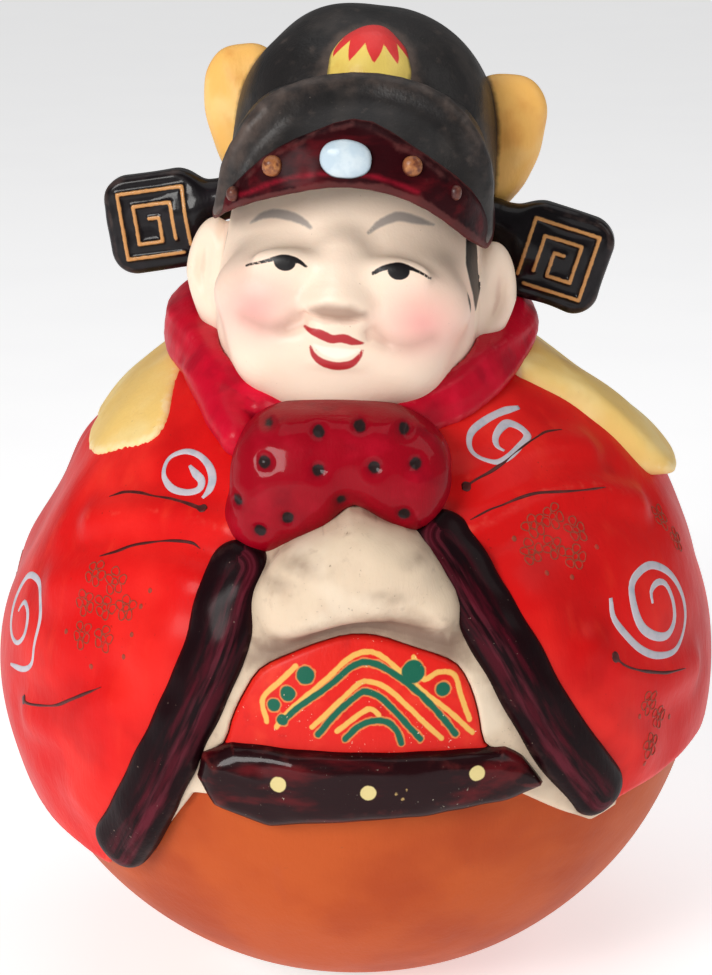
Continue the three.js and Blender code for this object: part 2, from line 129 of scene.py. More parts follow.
def rounded(p, radii, centre=(0, 0, 0), fullness=2.0):
    """A rounded form: an ellipsoid at fullness 2, squarer as fullness rises."""
    radii = np.asarray(radii, float)
    q = np.abs(p - np.asarray(centre, float)) / radii
    s = np.maximum((q ** fullness).sum(-1), 1e-12) ** (1 / fullness)
    slope = length(q ** (fullness - 1) / radii) * s ** (1 - fullness)
    return (s - 1) / np.maximum(slope, 1e-4)


def join(a, b, blend=0.0):
    if not blend:
        return np.minimum(a, b)
    h = np.maximum(blend - np.abs(a - b), 0) / blend
    return np.minimum(a, b) - h * h * blend / 4


def meet(a, b, blend=0.0):
    return -join(-a, -b, blend)


def cut(a, b, blend=0.0):
    return meet(a, -b, blend)


def soft(corners, count=30):
    """An outline with its corners rounded off."""
    return smooth_line(corners, count + 1, closed=True)[:-1]


def outline(p, corners, axes=(0, 2)):
    """Distance from a closed outline, seen along the axis that isn't in axes."""
    q = p[:, axes]
    corners = np.asarray(corners, float)
    nearest = np.full(len(q), 1e9)
    inside = np.zeros(len(q), bool)
    for a, b in zip(corners, np.roll(corners, -1, 0)):
        ab, aq = b - a, q - a
        t = np.clip(aq @ ab / (ab @ ab), 0, 1)
        nearest = np.minimum(nearest, ((aq - t[:, None] * ab) ** 2).sum(1))
        spans = (a[1] > q[:, 1]) != (b[1] > q[:, 1])
        side = (b[0] - a[0]) * (q[:, 1] - a[1]) / (b[1] - a[1] + 1e-12) + a[0]
        inside ^= spans & (q[:, 0] < side)
    return np.where(inside, -1, 1) * np.sqrt(nearest)


def smooth_line(points, count, closed=False):
    """count points, evenly spaced, on a smooth curve through the given ones."""
    p = np.asarray(points, float)
    if len(p) < 3:
        return p[0] + np.linspace(0, 1, count)[:, None] * (p[-1] - p[0])
    p = np.vstack([p[-1:], p, p[:2]]) if closed else np.vstack([2 * p[0] - p[1], p, 2 * p[-1] - p[-2]])
    t = np.linspace(0, 1, 12, endpoint=False)[:, None]
    fine = []
    for a, b, c, d in zip(p, p[1:], p[2:], p[3:]):
        square, cube = 2 * a - 5 * b + 4 * c - d, 3 * b - a - 3 * c + d
        fine.append(0.5 * (2 * b + (c - a) * t + square * t ** 2 + cube * t ** 3))
    fine = np.vstack(fine + [p[-2:-1]])
    run = np.r_[0, np.cumsum(length(np.diff(fine, axis=0)))]
    at = np.linspace(0, run[-1], count)
    return np.stack([np.interp(at, run, fine[:, i]) for i in range(p.shape[1])], 1)


def along(p, line):
    """Each point's distance to a line, the nearest point there, its tangent and the share of the way."""
    best = np.full(len(p), 1e18)
    near, tangent, share = np.zeros_like(p), np.zeros_like(p), np.zeros(len(p))
    for i in range(len(line) - 1):
        ab = line[i + 1] - line[i]
        size = ab @ ab
        if size < 1e-12:
            continue
        t = np.clip((p - line[i]) @ ab / size, 0, 1)
        q = line[i] + t[:, None] * ab
        d = ((p - q) ** 2).sum(1)
        closer = d < best
        best[closer], near[closer] = d[closer], q[closer]
        tangent[closer], share[closer] = ab / math.sqrt(size), (i + t[closer]) / (len(line) - 1)
    return np.sqrt(best), near, tangent, share


def away_from(p, line, reach):
    """Distance from a line, worked out only where it is less than about reach."""
    middle = (line.min(0) + line.max(0)) / 2
    close = length(p - middle) < length(line - middle).max() + reach
    d = np.full(len(p), 3.0 * reach)
    d[close] = along(p[close], line)[0]
    return d


def groove(p, line, width, depth):
    """How much a soft groove along a line takes off; a ridge if depth is below zero."""
    return depth * np.exp(-(away_from(p, line, 3.5 * width) / width) ** 2)


def tube(p, line, radius, end=None):
    d, _, _, share = along(p, line)
    return d - (radius if end is None else radius + (end - radius) * share)


def oval(across, over, half_width, half_height, fullness=2.0):
    """Distance from a strip's section: an ellipse at fullness 2, squarer as fullness rises."""
    a, b = np.abs(across) / half_width, np.abs(over) / half_height
    s = np.maximum(a ** fullness + b ** fullness, 1e-12) ** (1 / fullness)
    slope = np.hypot(a ** (fullness - 1) / half_width,
                     b ** (fullness - 1) / half_height) * s ** (1 - fullness)
    return (s - 1) / np.maximum(slope, 1e-3)


def waves(p, size, seed):
    """A smooth unevenness between about -1 and 1."""
    rng = np.random.default_rng(seed)
    total = np.zeros(len(p))
    for _ in range(5):
        direction = rng.normal(size=3)
        direction *= 2 * math.pi / size / np.linalg.norm(direction) * rng.uniform(0.6, 1.4)
        total += np.sin(p @ direction + rng.uniform(0, 6.28))
    return total / 3


FOUR = np.array([(1, 1, 1), (1, -1, -1), (-1, 1, -1), (-1, -1, 1)]) / math.sqrt(3)


def slopes(field, p, h=0.06):
    """Which way, and how fast, a field rises."""
    return sum(field(p + h * t)[:, None] * t for t in FOUR) * 0.75 / h


def settle(p, field, rounds=2, reach=0.6):
    """Moves points onto the surface, along the slope where they start."""
    g = slopes(field, p)
    steep = np.maximum((g * g).sum(1), 0.05)
    for _ in range(rounds):
        p = p - np.clip(field(p) / steep, -reach, reach)[:, None] * g
    return p


# ---------- skinning a field with a closed mesh ----------

BLOCK = 6
CORNERS = np.array([(i, j, k) for i in (0, 1) for j in (0, 1) for k in (0, 1)])


def sample(field, low, blocks, step):
    """The field on a grid, exact near its surface and with the right sign elsewhere."""
    size = step * BLOCK
    at = np.stack(np.meshgrid(*[np.arange(n) for n in blocks], indexing="ij"), -1).reshape(-1, 3)
    coarse = field(low + (at + 0.5) * size)
    values = np.kron(coarse.reshape(blocks), np.ones((BLOCK,) * 3))
    values = np.pad(values, ((0, 1),) * 3, mode="edge")
    near = at[np.abs(coarse) < size * 1.3 + step]
    local = np.stack(np.meshgrid(*[np.arange(BLOCK + 1)] * 3, indexing="ij"), -1).reshape(-1, 3)
    for part in np.array_split(near, max(1, len(near) // 600)):
        nodes = (part[:, None] * BLOCK + local).reshape(-1, 3)
        values[tuple(nodes.T)] = field(low + nodes * step)
    return values


def net(values):
    """Surface net of a grid of values: points in grid units, and quads facing out."""
    inside = values < 0
    cells = np.array(values.shape) - 1
    count = sum(inside[i:i + cells[0], j:j + cells[1], k:k + cells[2]].astype(np.int8) for i, j,
                k in CORNERS)
    active = (count > 0) & (count < 8)
    at = np.argwhere(active)
    number = np.full(tuple(cells), -1)
    number[active] = np.arange(len(at))
    total, hits = np.zeros((len(at), 3)), np.zeros(len(at))
    for axis in range(3):
        step = np.eye(3, dtype=int)[axis]
        for corner in CORNERS[CORNERS[:, axis] == 0]:
            a, b = values[tuple((at + corner).T)], values[tuple((at + corner + step).T)]
            crossed = (a < 0) != (b < 0)
            t = np.where(crossed, a / np.where(crossed, a - b, 1), 0)
            total += np.where(crossed[:, None], corner + t[:, None] * step, 0)
            hits += crossed
    quads = []
    for axis in range(3):
        u, v = np.eye(3, dtype=int)[[(axis + 1) % 3, (axis + 2) % 3]]
        step = np.eye(3, dtype=int)[axis]
        a = inside[tuple(slice(0, n) for n in np.array(values.shape) - step)]
        b = inside[tuple(slice(s, None) for s in step)]
        edges = np.argwhere(a != b)
        e = edges[((edges @ (u + v)[:, None]).ravel() >= 0)]
        keep = ((e @ u) > 0) & ((e @ v) > 0) & ((e @ u) < cells @ u) & ((e @ v) < cells @ v)
        e = e[keep]
        quad = np.stack([number[tuple((e + o).T)] for o in (-u - v, -v, 0 * u, -u)], 1)
        quads.append(np.where(a[tuple(e.T)][:, None], quad, quad[:, ::-1]))
    return at + total / hits[:, None], np.vstack(quads)


def skin(field, low, high, step):
    """Points and quads of the surface where a field is zero, inside the box from low to high."""
    low, high = np.asarray(low, float), np.asarray(high, float)
    blocks = np.ceil((high - low) / (step * BLOCK)).astype(int)
    points, quads = net(sample(field, low, blocks, step))
    points, quads = largest(low + points * step, quads)
    return settle(points, field, 3, step * 0.7), quads


def largest(points, quads):
    """Only the biggest connected surface."""
    label = np.arange(len(points))
    while True:
        lowest = label.copy()
        np.minimum.at(lowest, quads.ravel(), np.repeat(label[quads].min(1), 4))
        lowest = lowest[lowest]
        if (lowest == label).all():
            break
        label = lowest
    kept = label == np.bincount(label[quads[:, 0]], minlength=len(label)).argmax()
    new = np.cumsum(kept) - 1
    return points[kept], new[quads[kept[quads[:, 0]]]]


def edges_and_creases(field, p, h=0.8):
    """Above zero on outward edges, below zero in creases, about 1 at a 1 mm radius."""
    return sum(field(p + h * t) for t in FOUR) * 1.5 / h ** 2


# ---------- frames and pieces ----------

body_low, body_high = (np.array(v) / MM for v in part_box("body_shell"))
SHIFT = np.append((body_low + body_high)[:2] / 2, 0)
c, s = math.cos(HEAD_ROLL), math.sin(HEAD_ROLL)
rolled = np.array([[c, 0, s], [0, 1, 0], [-s, 0, c]])
c, s = math.cos(HEAD_YAW), math.sin(HEAD_YAW)
HEAD_TURN = rolled @ np.array([[c, -s, 0], [s, c, 0], [0, 0, 1]])


def from_head(p):
    return p @ HEAD_TURN.T + HEAD_PIVOT


def to_head(p):
    return (p - HEAD_PIVOT) @ HEAD_TURN


def piece(name, points, faces, material, slot, nodes=(), **attributes):
    """A mesh from points in the doll's millimetres, riding on the body."""
    mesh = bpy.data.meshes.new(name)
    placed = (points + SHIFT) * MM
    if isinstance(faces, np.ndarray):
        mesh.vertices.add(len(placed))
        mesh.vertices.foreach_set("co", placed.astype(np.float32).ravel())
        mesh.loops.add(faces.size)
        mesh.loops.foreach_set("vertex_index", faces.astype(np.int32).ravel())
        mesh.polygons.add(len(faces))
        mesh.polygons.foreach_set("loop_start", np.arange(0, faces.size, faces.shape[1], dtype=np.int32))
        mesh.update(calc_edges=True)
    else:
        mesh.from_pydata(placed.tolist(), [], faces)
        work = bmesh.new()
        work.from_mesh(mesh)
        bmesh.ops.recalc_face_normals(work, faces=work.faces)
        work.to_mesh(mesh)
        work.free()
    mesh.shade_smooth()
    for key, values in attributes.items():
        kept = mesh.attributes.new(key, "FLOAT", "POINT")
        kept.data.foreach_set("value", np.asarray(values, np.float32))
    mesh.materials.append(material)
    made = bpy.data.objects.new(name, mesh)
    bpy.context.scene.collection.objects.link(made)
    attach(made, "root")
    if nodes:
        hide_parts(*nodes)
    return made


moulds = []


def moulded(name, field, low, high, step, material, slot, nodes, place=None, painted=None):
    """Asks for a skinned piece; painted holds further fields kept on its points for the paint."""
    def work():
        points, quads = skin(field, low, high, step)
        kept = {key: mark(points) for key, mark in (painted or {}).items()}
        kept["edge"] = edges_and_creases(field, points)
        return place(points) if place else points, quads, kept
    moulds.append((name, work, (material, slot, nodes)))


def make_moulded():
    """The fields are worked out side by side, and the pieces are made in the order asked for."""
    with ThreadPoolExecutor(4) as pool:
        made = [pool.submit(work) for _, work, _ in moulds]
        for (name, _, finish), result in zip(moulds, made):
            points, quads, kept = result.result()
            piece(name, points, quads, *finish, **kept)


# ---------- node materials: colours are what the eye sees, from 0 to 255 ----------

def linear(level):
    share = level / 255
    return share / 12.92 if share <= 0.04045 else ((share + 0.055) / 1.055) ** 2.4


def srgb(r, g, b):
    return linear(r), linear(g), linear(b), 1


class Paint:
    """A painted surface: colour built up in layers, with roughness and relief from the same noises."""

    def __init__(self, name, colour, roughness=0.4, coat=0.0, coat_roughness=0.15, specular=0.5,
                 under_skin=0.0):
        self.material = bpy.data.materials.new(name)
        self.material.use_nodes = True
        self.tree = self.material.node_tree
        self.shader = self.tree.nodes["Principled BSDF"]
        self.shader.inputs["Coat Weight"].default_value = coat
        self.shader.inputs["Coat Roughness"].default_value = coat_roughness
        self.shader.inputs["Specular IOR Level"].default_value = specular
        self.shader.inputs["Subsurface Weight"].default_value = under_skin
        self.shader.inputs["Subsurface Radius"].default_value = (1, 0.5, 0.3)
        self.shader.inputs["Subsurface Scale"].default_value = 0.0015
        self.place = self.node("ShaderNodeTexCoord").outputs["Object"]
        self.colour, self.roughness = srgb(*colour), roughness

    def node(self, kind, values=None, **settings):
        made = self.tree.nodes.new(kind)
        for key, value in settings.items():
            setattr(made, key, value)
        for key, value in (values or {}).items():
            if isinstance(value, bpy.types.NodeSocket):
                self.tree.links.new(value, made.inputs[key])
            else:
                made.inputs[key].default_value = value
        return made

    def maths(self, operation, a, b=0.0):
        return self.node("ShaderNodeMath", {0: a, 1: b}, operation=operation).outputs[0]

    def level(self, value, low, high):
        return self.node("ShaderNodeMapRange", {"Value": value, "From Min": low, "From Max": high},
                         interpolation_type="SMOOTHSTEP").outputs["Result"]

    def attribute(self, name):
        return self.node("ShaderNodeAttribute", attribute_name=name).outputs["Fac"]

    def noise(self, size, detail=3.0, stretch=(1, 1, 1)):
        """Noise of about that size in millimetres, longer along an axis where stretch is above 1."""
        scale = tuple(1 / MM / size / s for s in stretch)
        at = self.node("ShaderNodeMapping", {"Vector": self.place, "Scale": scale})
        values = {"Vector": at.outputs[0], "Scale": 1.0, "Detail": detail}
        return self.node("ShaderNodeTexNoise", values).outputs["Fac"]

    def layer(self, colour, share):
        mix = self.node("ShaderNodeMix", data_type="RGBA")
        for socket, value in ((mix.inputs[0], share), (mix.inputs[6], self.colour),
                              (mix.inputs[7], srgb(*colour))):
            if isinstance(value, bpy.types.NodeSocket):
                self.tree.links.new(value, socket)
            else:
                socket.default_value = value
        self.colour = mix.outputs[2]
        return self

    def mottle(self, colour, size, low=0.48, high=0.72, share=1.0, **how):
        """Patches of a colour, about size millimetres across, where the noise is above low to high."""
        found = self.level(self.noise(size, **how), low, high)
        return self.layer(colour, self.maths("MULTIPLY", found, share))

    def worn(self, colour, low=0.2, high=0.6, share=0.8, size=1.6):
        """Paint rubbed off the outward edges, in patches."""
        ragged = self.maths("MULTIPLY_ADD", self.noise(size, 5.0), 0.9)
        ragged.node.inputs[2].default_value = -0.45
        edge = self.maths("ADD", self.attribute("edge"), ragged)
        return self.layer(colour, self.maths("MULTIPLY", self.level(edge, low, high), share))

    def crease_shade(self, colour, low=0.03, high=0.35, share=0.7, size=3.0):
        """Painted shade in the creases: a darker colour where the surface curves inwards, in ragged
        patches.
        """
        ragged = self.maths("MULTIPLY_ADD", self.noise(size, 4.0), 0.24)
        ragged.node.inputs[2].default_value = -0.12
        crease = self.maths("SUBTRACT", ragged, self.attribute("edge"))
        return self.layer(colour, self.maths("MULTIPLY", self.level(crease, low, high), share))

    def specks(self, colour, size=0.9, amount=0.3, share=0.6):
        """Small spots, in groups."""
        found = self.level(self.noise(size, 2.0), 0.74 - amount * 0.2, 0.78 - amount * 0.2)
        patch = self.level(self.noise(size * 9, 2.0), 0.45, 0.65)
        return self.layer(colour, self.maths("MULTIPLY", self.maths("MULTIPLY", found, patch), share))

    def stroke(self, colour, name, radius, soft=0.12, share=1.0, wobble=0.12, size=1.2):
        """A painted mark, within radius of where the named attribute is zero."""
        ragged = self.maths("MULTIPLY_ADD", self.noise(size, 3.0), 2 * wobble)
        ragged.node.inputs[2].default_value = -wobble
        away = self.maths("ADD", self.attribute(name), ragged)
        inside = self.level(away, radius - soft, radius + soft)
        inside.node.inputs["To Min"].default_value = 1
        inside.node.inputs["To Max"].default_value = 0
        if share != 1.0:
            inside = self.maths("MULTIPLY", inside, share)
        return self.layer(colour, inside)

    def streaks(self, colour, across, low, high, share, fine=7.0, reach=5.0):
        """Streaks along a strip, strongest where across is near the middle of low to high; used for brush
        streaks and for a painted highlight streak.
        """
        x = self.maths("MULTIPLY", self.attribute(across), fine)
        y = self.maths("MULTIPLY", self.attribute("run"), reach)
        at = self.node("ShaderNodeCombineXYZ", {0: x, 1: y}).outputs[0]
        streaky = self.node("ShaderNodeTexNoise", {"Vector": at, "Scale": 1.0, "Detail": 5.0})
        middle, half = (low + high) / 2, (high - low) / 2
        off = self.maths("ABSOLUTE", self.maths("SUBTRACT", self.attribute(across), middle))
        inside = self.maths("SUBTRACT", 1.0, self.level(off, half * 0.4, half))
        found = self.maths("MULTIPLY", self.level(streaky.outputs["Fac"], 0.42, 0.62), inside)
        return self.layer(colour, self.maths("MULTIPLY", found, share))

    def gloss(self, spread, size=5.0, **how):
        """Roughness that wanders by spread about its value."""
        value = self.maths("MULTIPLY_ADD", self.noise(size, 4.0, **how), 2 * spread)
        value.node.inputs[2].default_value = self.roughness - spread
        self.tree.links.new(value, self.shader.inputs["Roughness"])
        return self

    def bumps(self, *layers):
        """Relief from noises, each (size, height in mm, stretch)."""
        total = None
        for size, height, stretch in layers:
            part = self.maths("MULTIPLY", self.noise(size, 3.0, stretch), height)
            total = part if total is None else self.maths("ADD", total, part)
        bump = self.node("ShaderNodeBump", {"Height": total, "Strength": 1.0, "Distance": MM})
        self.tree.links.new(bump.outputs[0], self.shader.inputs["Normal"])
        return self

    def done(self):
        if isinstance(self.colour, bpy.types.NodeSocket):
            self.tree.links.new(self.colour, self.shader.inputs["Base Color"])
        else:
            self.shader.inputs["Base Color"].default_value = self.colour
        if not self.shader.inputs["Roughness"].is_linked:
            self.shader.inputs["Roughness"].default_value = self.roughness
        return self.material


ROUND, DOWN, LEVEL = (1, 1, 1), (1, 1, 5), (5, 5, 1)
BRUSHED = ((0.5, 0.05, DOWN), (2.2, 0.1, ROUND))


def body_paint():
    p = Paint("body_orange_paint", (188, 84, 36), 0.5, specular=0.12)
    p.mottle((172, 70, 30), 22, 0.42, 0.7).mottle((204, 102, 54), 15, 0.5, 0.75, 0.5, stretch=LEVEL)
    p.mottle((178, 80, 50), 5, 0.6, 0.85, 0.35, stretch=DOWN, detail=5.0)
    p.specks((150, 80, 50), 0.8, 0.2, 0.4)
    return p.gloss(0.08, 8).bumps(*BRUSHED).done()


def robe_paint():
    p = Paint("robe_red_paint", (216, 20, 20), 0.42, coat=0.1, coat_roughness=0.22, specular=0.06)
    p.mottle((238, 46, 38), 26, 0.45, 0.7, 0.8).mottle((192, 14, 16), 18, 0.48, 0.72, 0.75)
    p.mottle((236, 62, 42), 4.5, 0.55, 0.85, 0.4, stretch=DOWN, detail=5.0)
    # painted shade in the robe's creases
    p.crease_shade((150, 26, 22), 0.06, 0.4, 0.5)
    p.mottle((160, 40, 30), 7, 0.62, 0.86, 0.4, detail=6.0).worn((240, 112, 92), 0.5, 1.0, 0.3)
    p.specks((120, 30, 20), 0.7, 0.2, 0.4)
    return p.gloss(0.09, 7).bumps((0.6, 0.05, DOWN), (3.0, 0.16, ROUND)).done()


def trim_paint():
    p = Paint("trim_maroon_lacquer", (24, 4, 8), 0.46, coat=0.1, coat_roughness=0.2, specular=0.04)
    p.mottle((20, 6, 10), 5, 0.46, 0.66, 0.8)
    p.streaks((84, 14, 30), "inward", -0.4, 1.1, 0.65, fine=3.0, reach=4.0)
    # a lighter pinkish streak near each cuff's inner edge: a painted highlight
    p.streaks((132, 50, 66), "inward", 0.1, 0.75, 0.25, fine=6.0, reach=6.0)
    p.worn((110, 74, 70), 0.35, 0.9, 0.4, 2.2).specks((190, 160, 144), 0.6, 0.1, 0.4)
    return p.gloss(0.08, 3).bumps((0.7, 0.07, (1, 1, 4)), (3.0, 0.12, ROUND)).done()


def hem_paint():
    p = Paint("hem_maroon_lacquer", (32, 5, 9), 0.38, coat=0.28, coat_roughness=0.1, specular=0.04)
    p.mottle((94, 16, 22), 4.2, 0.5, 0.7, 0.8, stretch=(4, 1, 1), detail=5.0)
    p.worn((120, 46, 44), 0.3, 0.8, 0.4, 2.0).specks((200, 190, 170), 0.5, 0.15, 0.6)
    p.stroke((218, 200, 138), "dots", 1.3, 0.12).stroke((170, 140, 90), "specks", 0.3, 0.1)
    return p.gloss(0.07, 3).bumps((0.7, 0.07, (4, 1, 1)), (3.0, 0.12, ROUND)).done()


def white_paint():
    p = Paint("sleeve_white_paint", (222, 200, 174), 0.5, specular=0.2, under_skin=0.05)
    p.mottle((202, 176, 150), 9, 0.5, 0.75, 0.6).mottle((236, 220, 198), 12, 0.5, 0.7, 0.5)
    # painted shade in the sleeves' creases
    p.crease_shade((150, 122, 104), 0.04, 0.4, 0.6, 2.5)
    # painted shadow under the hands' arch, a darker colour along the cuffs, and grubby patches
    p.stroke((120, 94, 80), "grime", 0.4, 3.2, 0.88, 1.6, 3.0)
    p.mottle((150, 124, 106), 2.6, 0.6, 0.8, 0.4, detail=6.0).specks((110, 84, 70), 0.5, 0.3, 0.5)
    return p.gloss(0.08, 4).bumps(*BRUSHED).done()


def apron_paint():
    p = Paint("apron_red_paint", (222, 34, 26), 0.42, coat=0.08, coat_roughness=0.3, specular=0.15)
    p.mottle((236, 66, 44), 6, 0.5, 0.75, 0.6).mottle((190, 24, 24), 4, 0.55, 0.75, 0.6)
    p.stroke((232, 176, 96), "green", 0.74, 0.12, 0.5, 0.4)
    p.stroke((236, 188, 96), "yellow", 0.42, 0.14, 0.9, 0.16)
    p.stroke((24, 98, 76), "green", 0.52, 0.14, 1, 0.16)
    # pale specks over the apron: painted highlight specks
    p.specks((240, 214, 190), 0.5, 0.25, 0.7)
    # painted shade in the apron's creases
    p.crease_shade((110, 30, 22), 0.02, 0.3, 0.6)
    return p.gloss(0.08, 4).bumps(*BRUSHED).done()


def bow_paint():
    p = Paint("bow_crimson_paint", (148, 4, 24), 0.42, coat=0.2, coat_roughness=0.07, specular=0.03)
    p.mottle((172, 12, 36), 7, 0.48, 0.72, 0.7).mottle((124, 4, 22), 6, 0.52, 0.74, 0.7)
    p.worn((190, 50, 70), 0.5, 1.0, 0.35)
    p.stroke((104, 8, 26), "dots", 1.25, 0.7, 0.6, 0.3).stroke((30, 30, 30), "dots", 1.0, 0.2, 0.95, 0.25)
    return p.gloss(0.07, 4).bumps(*BRUSHED).done()


def scarf_paint():
    p = Paint("scarf_crimson_paint", (196, 8, 40), 0.44, coat=0.12, coat_roughness=0.2, specular=0.06)
    p.mottle((222, 24, 56), 8, 0.48, 0.72, 0.7).mottle((146, 6, 30), 7, 0.5, 0.74, 0.6)
    # painted shade in the scarf's creases, and paint rubbed off its edges
    p.crease_shade((110, 8, 26), 0.2, 0.6, 0.6).worn((220, 90, 96), 0.6, 1.1, 0.3)
    return p.gloss(0.08, 5).bumps(*BRUSHED).done()


def mantle_paint():
    p = Paint("mantle_yellow_paint", (244, 204, 120), 0.48, specular=0.25, under_skin=0.04)
    p.mottle((248, 222, 156), 14, 0.46, 0.7, 0.7).mottle((212, 164, 88), 11, 0.54, 0.78, 0.6)
    # painted shade in the cape's creases, and paint rubbed off its edges
    p.crease_shade((140, 96, 56), 0.02, 0.35, 0.7).worn((250, 236, 200), 0.45, 0.9, 0.4)
    p.specks((140, 92, 56), 0.7, 0.2, 0.5)
    return p.gloss(0.08, 6).bumps(*BRUSHED).done()


def face_paint():
    p = Paint("skin_cream_paint", (248, 224, 202), 0.4, coat=0.06, coat_roughness=0.3, specular=0.3,
              under_skin=0.06)
    p.mottle((240, 212, 188), 12, 0.5, 0.75, 0.4)
    p.stroke((232, 142, 142), "blush", 0.0, 6.5, 0.78, 0.5, 6.0)
    # painted shade in the face's creases
    p.crease_shade((206, 160, 140), 0.3, 0.9, 0.35, 2.0)
    p.stroke((168, 124, 110), "shade", 0.2, 2.2, 0.6, 0.3, 3.0)
    p.stroke((150, 116, 98), "under", 0.1, 0.9, 0.8, 0.25, 2.0)
    p.stroke((158, 148, 142), "brow", 0.0, 0.25, 0.9, 0.1, 0.8)
    p.stroke((255, 246, 232), "teeth", 0.0, 0.3, 0.8, 0.05)
    p.stroke((178, 10, 32), "lips", 0.0, 0.16, 0.97, 0.08, 0.9)
    p.stroke((14, 10, 12), "black", 0.0, 0.1, 1.0, 0.04, 0.6)
    p.specks((150, 116, 96), 0.5, 0.1, 0.4)
    return p.gloss(0.07, 5).bumps((0.5, 0.03, ROUND), (2.4, 0.07, ROUND)).done()


def hat_paint():
    p = Paint("hat_black_paint", (30, 27, 27), 0.44, specular=0.3)
    p.mottle((58, 52, 49), 9, 0.46, 0.72, 0.7).mottle((10, 10, 11), 7, 0.5, 0.72, 0.7)
    p.stroke((96, 80, 72), "ridge", -0.1, 1.3, 0.75, 1.3, 2.0)
    p.mottle((88, 76, 70), 2.2, 0.56, 0.8, 0.4, detail=7.0).worn((104, 90, 84), 0.35, 0.9, 0.5, 2.6)
    p.specks((110, 100, 92), 0.6, 0.15, 0.4)
    return p.gloss(0.1, 5).bumps((0.5, 0.06, ROUND), (2.6, 0.14, ROUND)).done()


def band_paint():
    p = Paint("band_maroon_lacquer", (42, 4, 9), 0.46, coat=0.05, coat_roughness=0.3, specular=0.05)
    p.mottle((88, 14, 22), 4.0, 0.48, 0.7, 0.8, stretch=(3, 1, 1), detail=5.0)
    p.mottle((22, 4, 8), 5, 0.52, 0.7, 0.8)
    p.worn((110, 60, 58), 0.3, 0.8, 0.5)
    # a lighter red line along the band's lower part: a painted highlight
    p.stroke((150, 18, 40), "gleam", 0.2, 0.6, 0.8, 0.4, 2.0)
    return p.gloss(0.08, 3).bumps((0.7, 0.07, (3, 1, 1)), (3.0, 0.1, ROUND)).done()


def wing_paint():
    p = Paint("wing_black_lacquer", (12, 6, 10), 0.4, coat=0.3, coat_roughness=0.12, specular=0.1)
    p.mottle((26, 18, 24), 4, 0.5, 0.72, 0.7).worn((84, 68, 64), 0.6, 1.1, 0.5, 1.8)
    p.stroke((210, 152, 92), "gold", 0.3, 0.12, 0.95, 0.14, 0.9)
    p.mottle((60, 32, 26), 2.4, 0.66, 0.84, 0.4, detail=5.0)
    return p.gloss(0.08, 3).bumps(*BRUSHED).done()


def lobe_paint():
    p = Paint("lobe_yellow_paint", (248, 190, 102), 0.45, specular=0.3, under_skin=0.04)
    p.mottle((252, 214, 142), 8, 0.48, 0.72, 0.6).mottle((230, 158, 74), 6, 0.54, 0.78, 0.6)
    p.stroke((40, 22, 18), "rim", 0.5, 0.5, 0.85, 0.3).worn((252, 232, 190), 0.5, 1.0, 0.35)
    return p.gloss(0.08, 5).bumps(*BRUSHED).done()


def crest_paint():
    p = Paint("crest_yellow_paint", (244, 214, 108), 0.42, specular=0.4)
    p.mottle((226, 180, 76), 5, 0.5, 0.75, 0.7)
    p.stroke((226, 38, 52), "blaze", 0.0, 0.2, 0.97, 0.15).stroke((60, 44, 36), "rim", 0.3, 0.5, 0.8, 0.3)
    return p.gloss(0.08, 4).bumps(*BRUSHED).done()


def gem_paint():
    p = Paint("gem_blue_paint", (186, 204, 216), 0.3, coat=0.15, coat_roughness=0.2, specular=0.3)
    p.mottle((210, 222, 228), 3, 0.45, 0.7, 0.8).mottle((160, 186, 204), 2.4, 0.55, 0.75, 0.6)
    p.stroke((24, 14, 16), "rim", 0.35, 0.3, 0.95, 0.12)
    return p.gloss(0.07, 2).bumps((0.6, 0.05, ROUND)).done()


def stud_paint(name, colour, light, dark):
    p = Paint(name, colour, 0.36, coat=0.1, coat_roughness=0.2, specular=0.3)
    p.mottle(light, 1.6, 0.5, 0.7, 0.8).mottle(dark, 1.3, 0.5, 0.68, 0.8)
    p.stroke(dark, "rim", 0.4, 0.3, 0.8, 0.2)
    return p.gloss(0.07, 2).bumps((0.5, 0.05, ROUND)).done()


def stroke_paint(name, colour, other, roughness=0.4):
    p = Paint(name, colour, roughness, coat=0.05, coat_roughness=0.3, specular=0.3)
    p.mottle(other, 2.2, 0.46, 0.72, 0.8, detail=5.0)
    return p.gloss(0.06, 3).bumps((0.5, 0.05, ROUND)).done()


def plain_fill(name, colour, other, grain):
    p = Paint(name, colour, 0.9, specular=0.2)
    p.mottle(other, grain * 6, 0.45, 0.7, 0.8).specks(other, grain, 0.8, 0.7)
    return p.gloss(0.05, 4).bumps((grain, 0.2, ROUND), (grain * 4, 0.3, ROUND)).done()


# ---------- the body and the robe ----------

def on_ball(bearing, latitude, offset=0.0):
    a, l = math.radians(bearing), math.radians(latitude)
    d = np.array([math.sin(a) * math.cos(l), -math.cos(a) * math.cos(l), math.sin(l)])
    return d / np.linalg.norm(d / (np.array(BALL_RADII) + offset)) + BALL_CENTRE


def ball_line(route, offset=0.0, count=40, closed=False):
    return smooth_line([on_ball(b, l, offset) for b, l in route], count, closed)


# Where the ball is flatter than round: the place, how wide and how deep.
DENTS = [((-55, -1, 88), 19, 4.0), ((38, 8, 110), 14, 3.0), ((61, -2, 79), 16, 0.9)]


def ball(p):
    d = rounded(p, BALL_RADII, BALL_CENTRE)
    for centre, width, depth in DENTS:
        d = d + depth * np.exp(-((p - centre) ** 2).sum(1) / width ** 2)
    return d + 0.12 * waves(p, 26, 1)


def head_form(q, grow=0.0):
    return join(rounded(q, **JAW), rounded(q, **CRANIUM), 5) - grow


def body(p):
    outside = ball(p)
    shell = cut(outside, np.maximum(outside + WALL, WALL - p[:, 2]))
    hole = np.maximum(length(p[:, :2]) - FILLER_RADIUS, p[:, 2] - WALL - 1)
    shell = cut(meet(shell, -p[:, 2], 1.2), hole, 0.6)
    q = to_head(p)
    neck = np.maximum(length(q[:, :2] - [0, NECK_Y]) - NECK_RADIUS - HEAD_GAP, q[:, 2])
    return cut(shell, join(neck, head_form(q, HEAD_GAP)), 0.4)


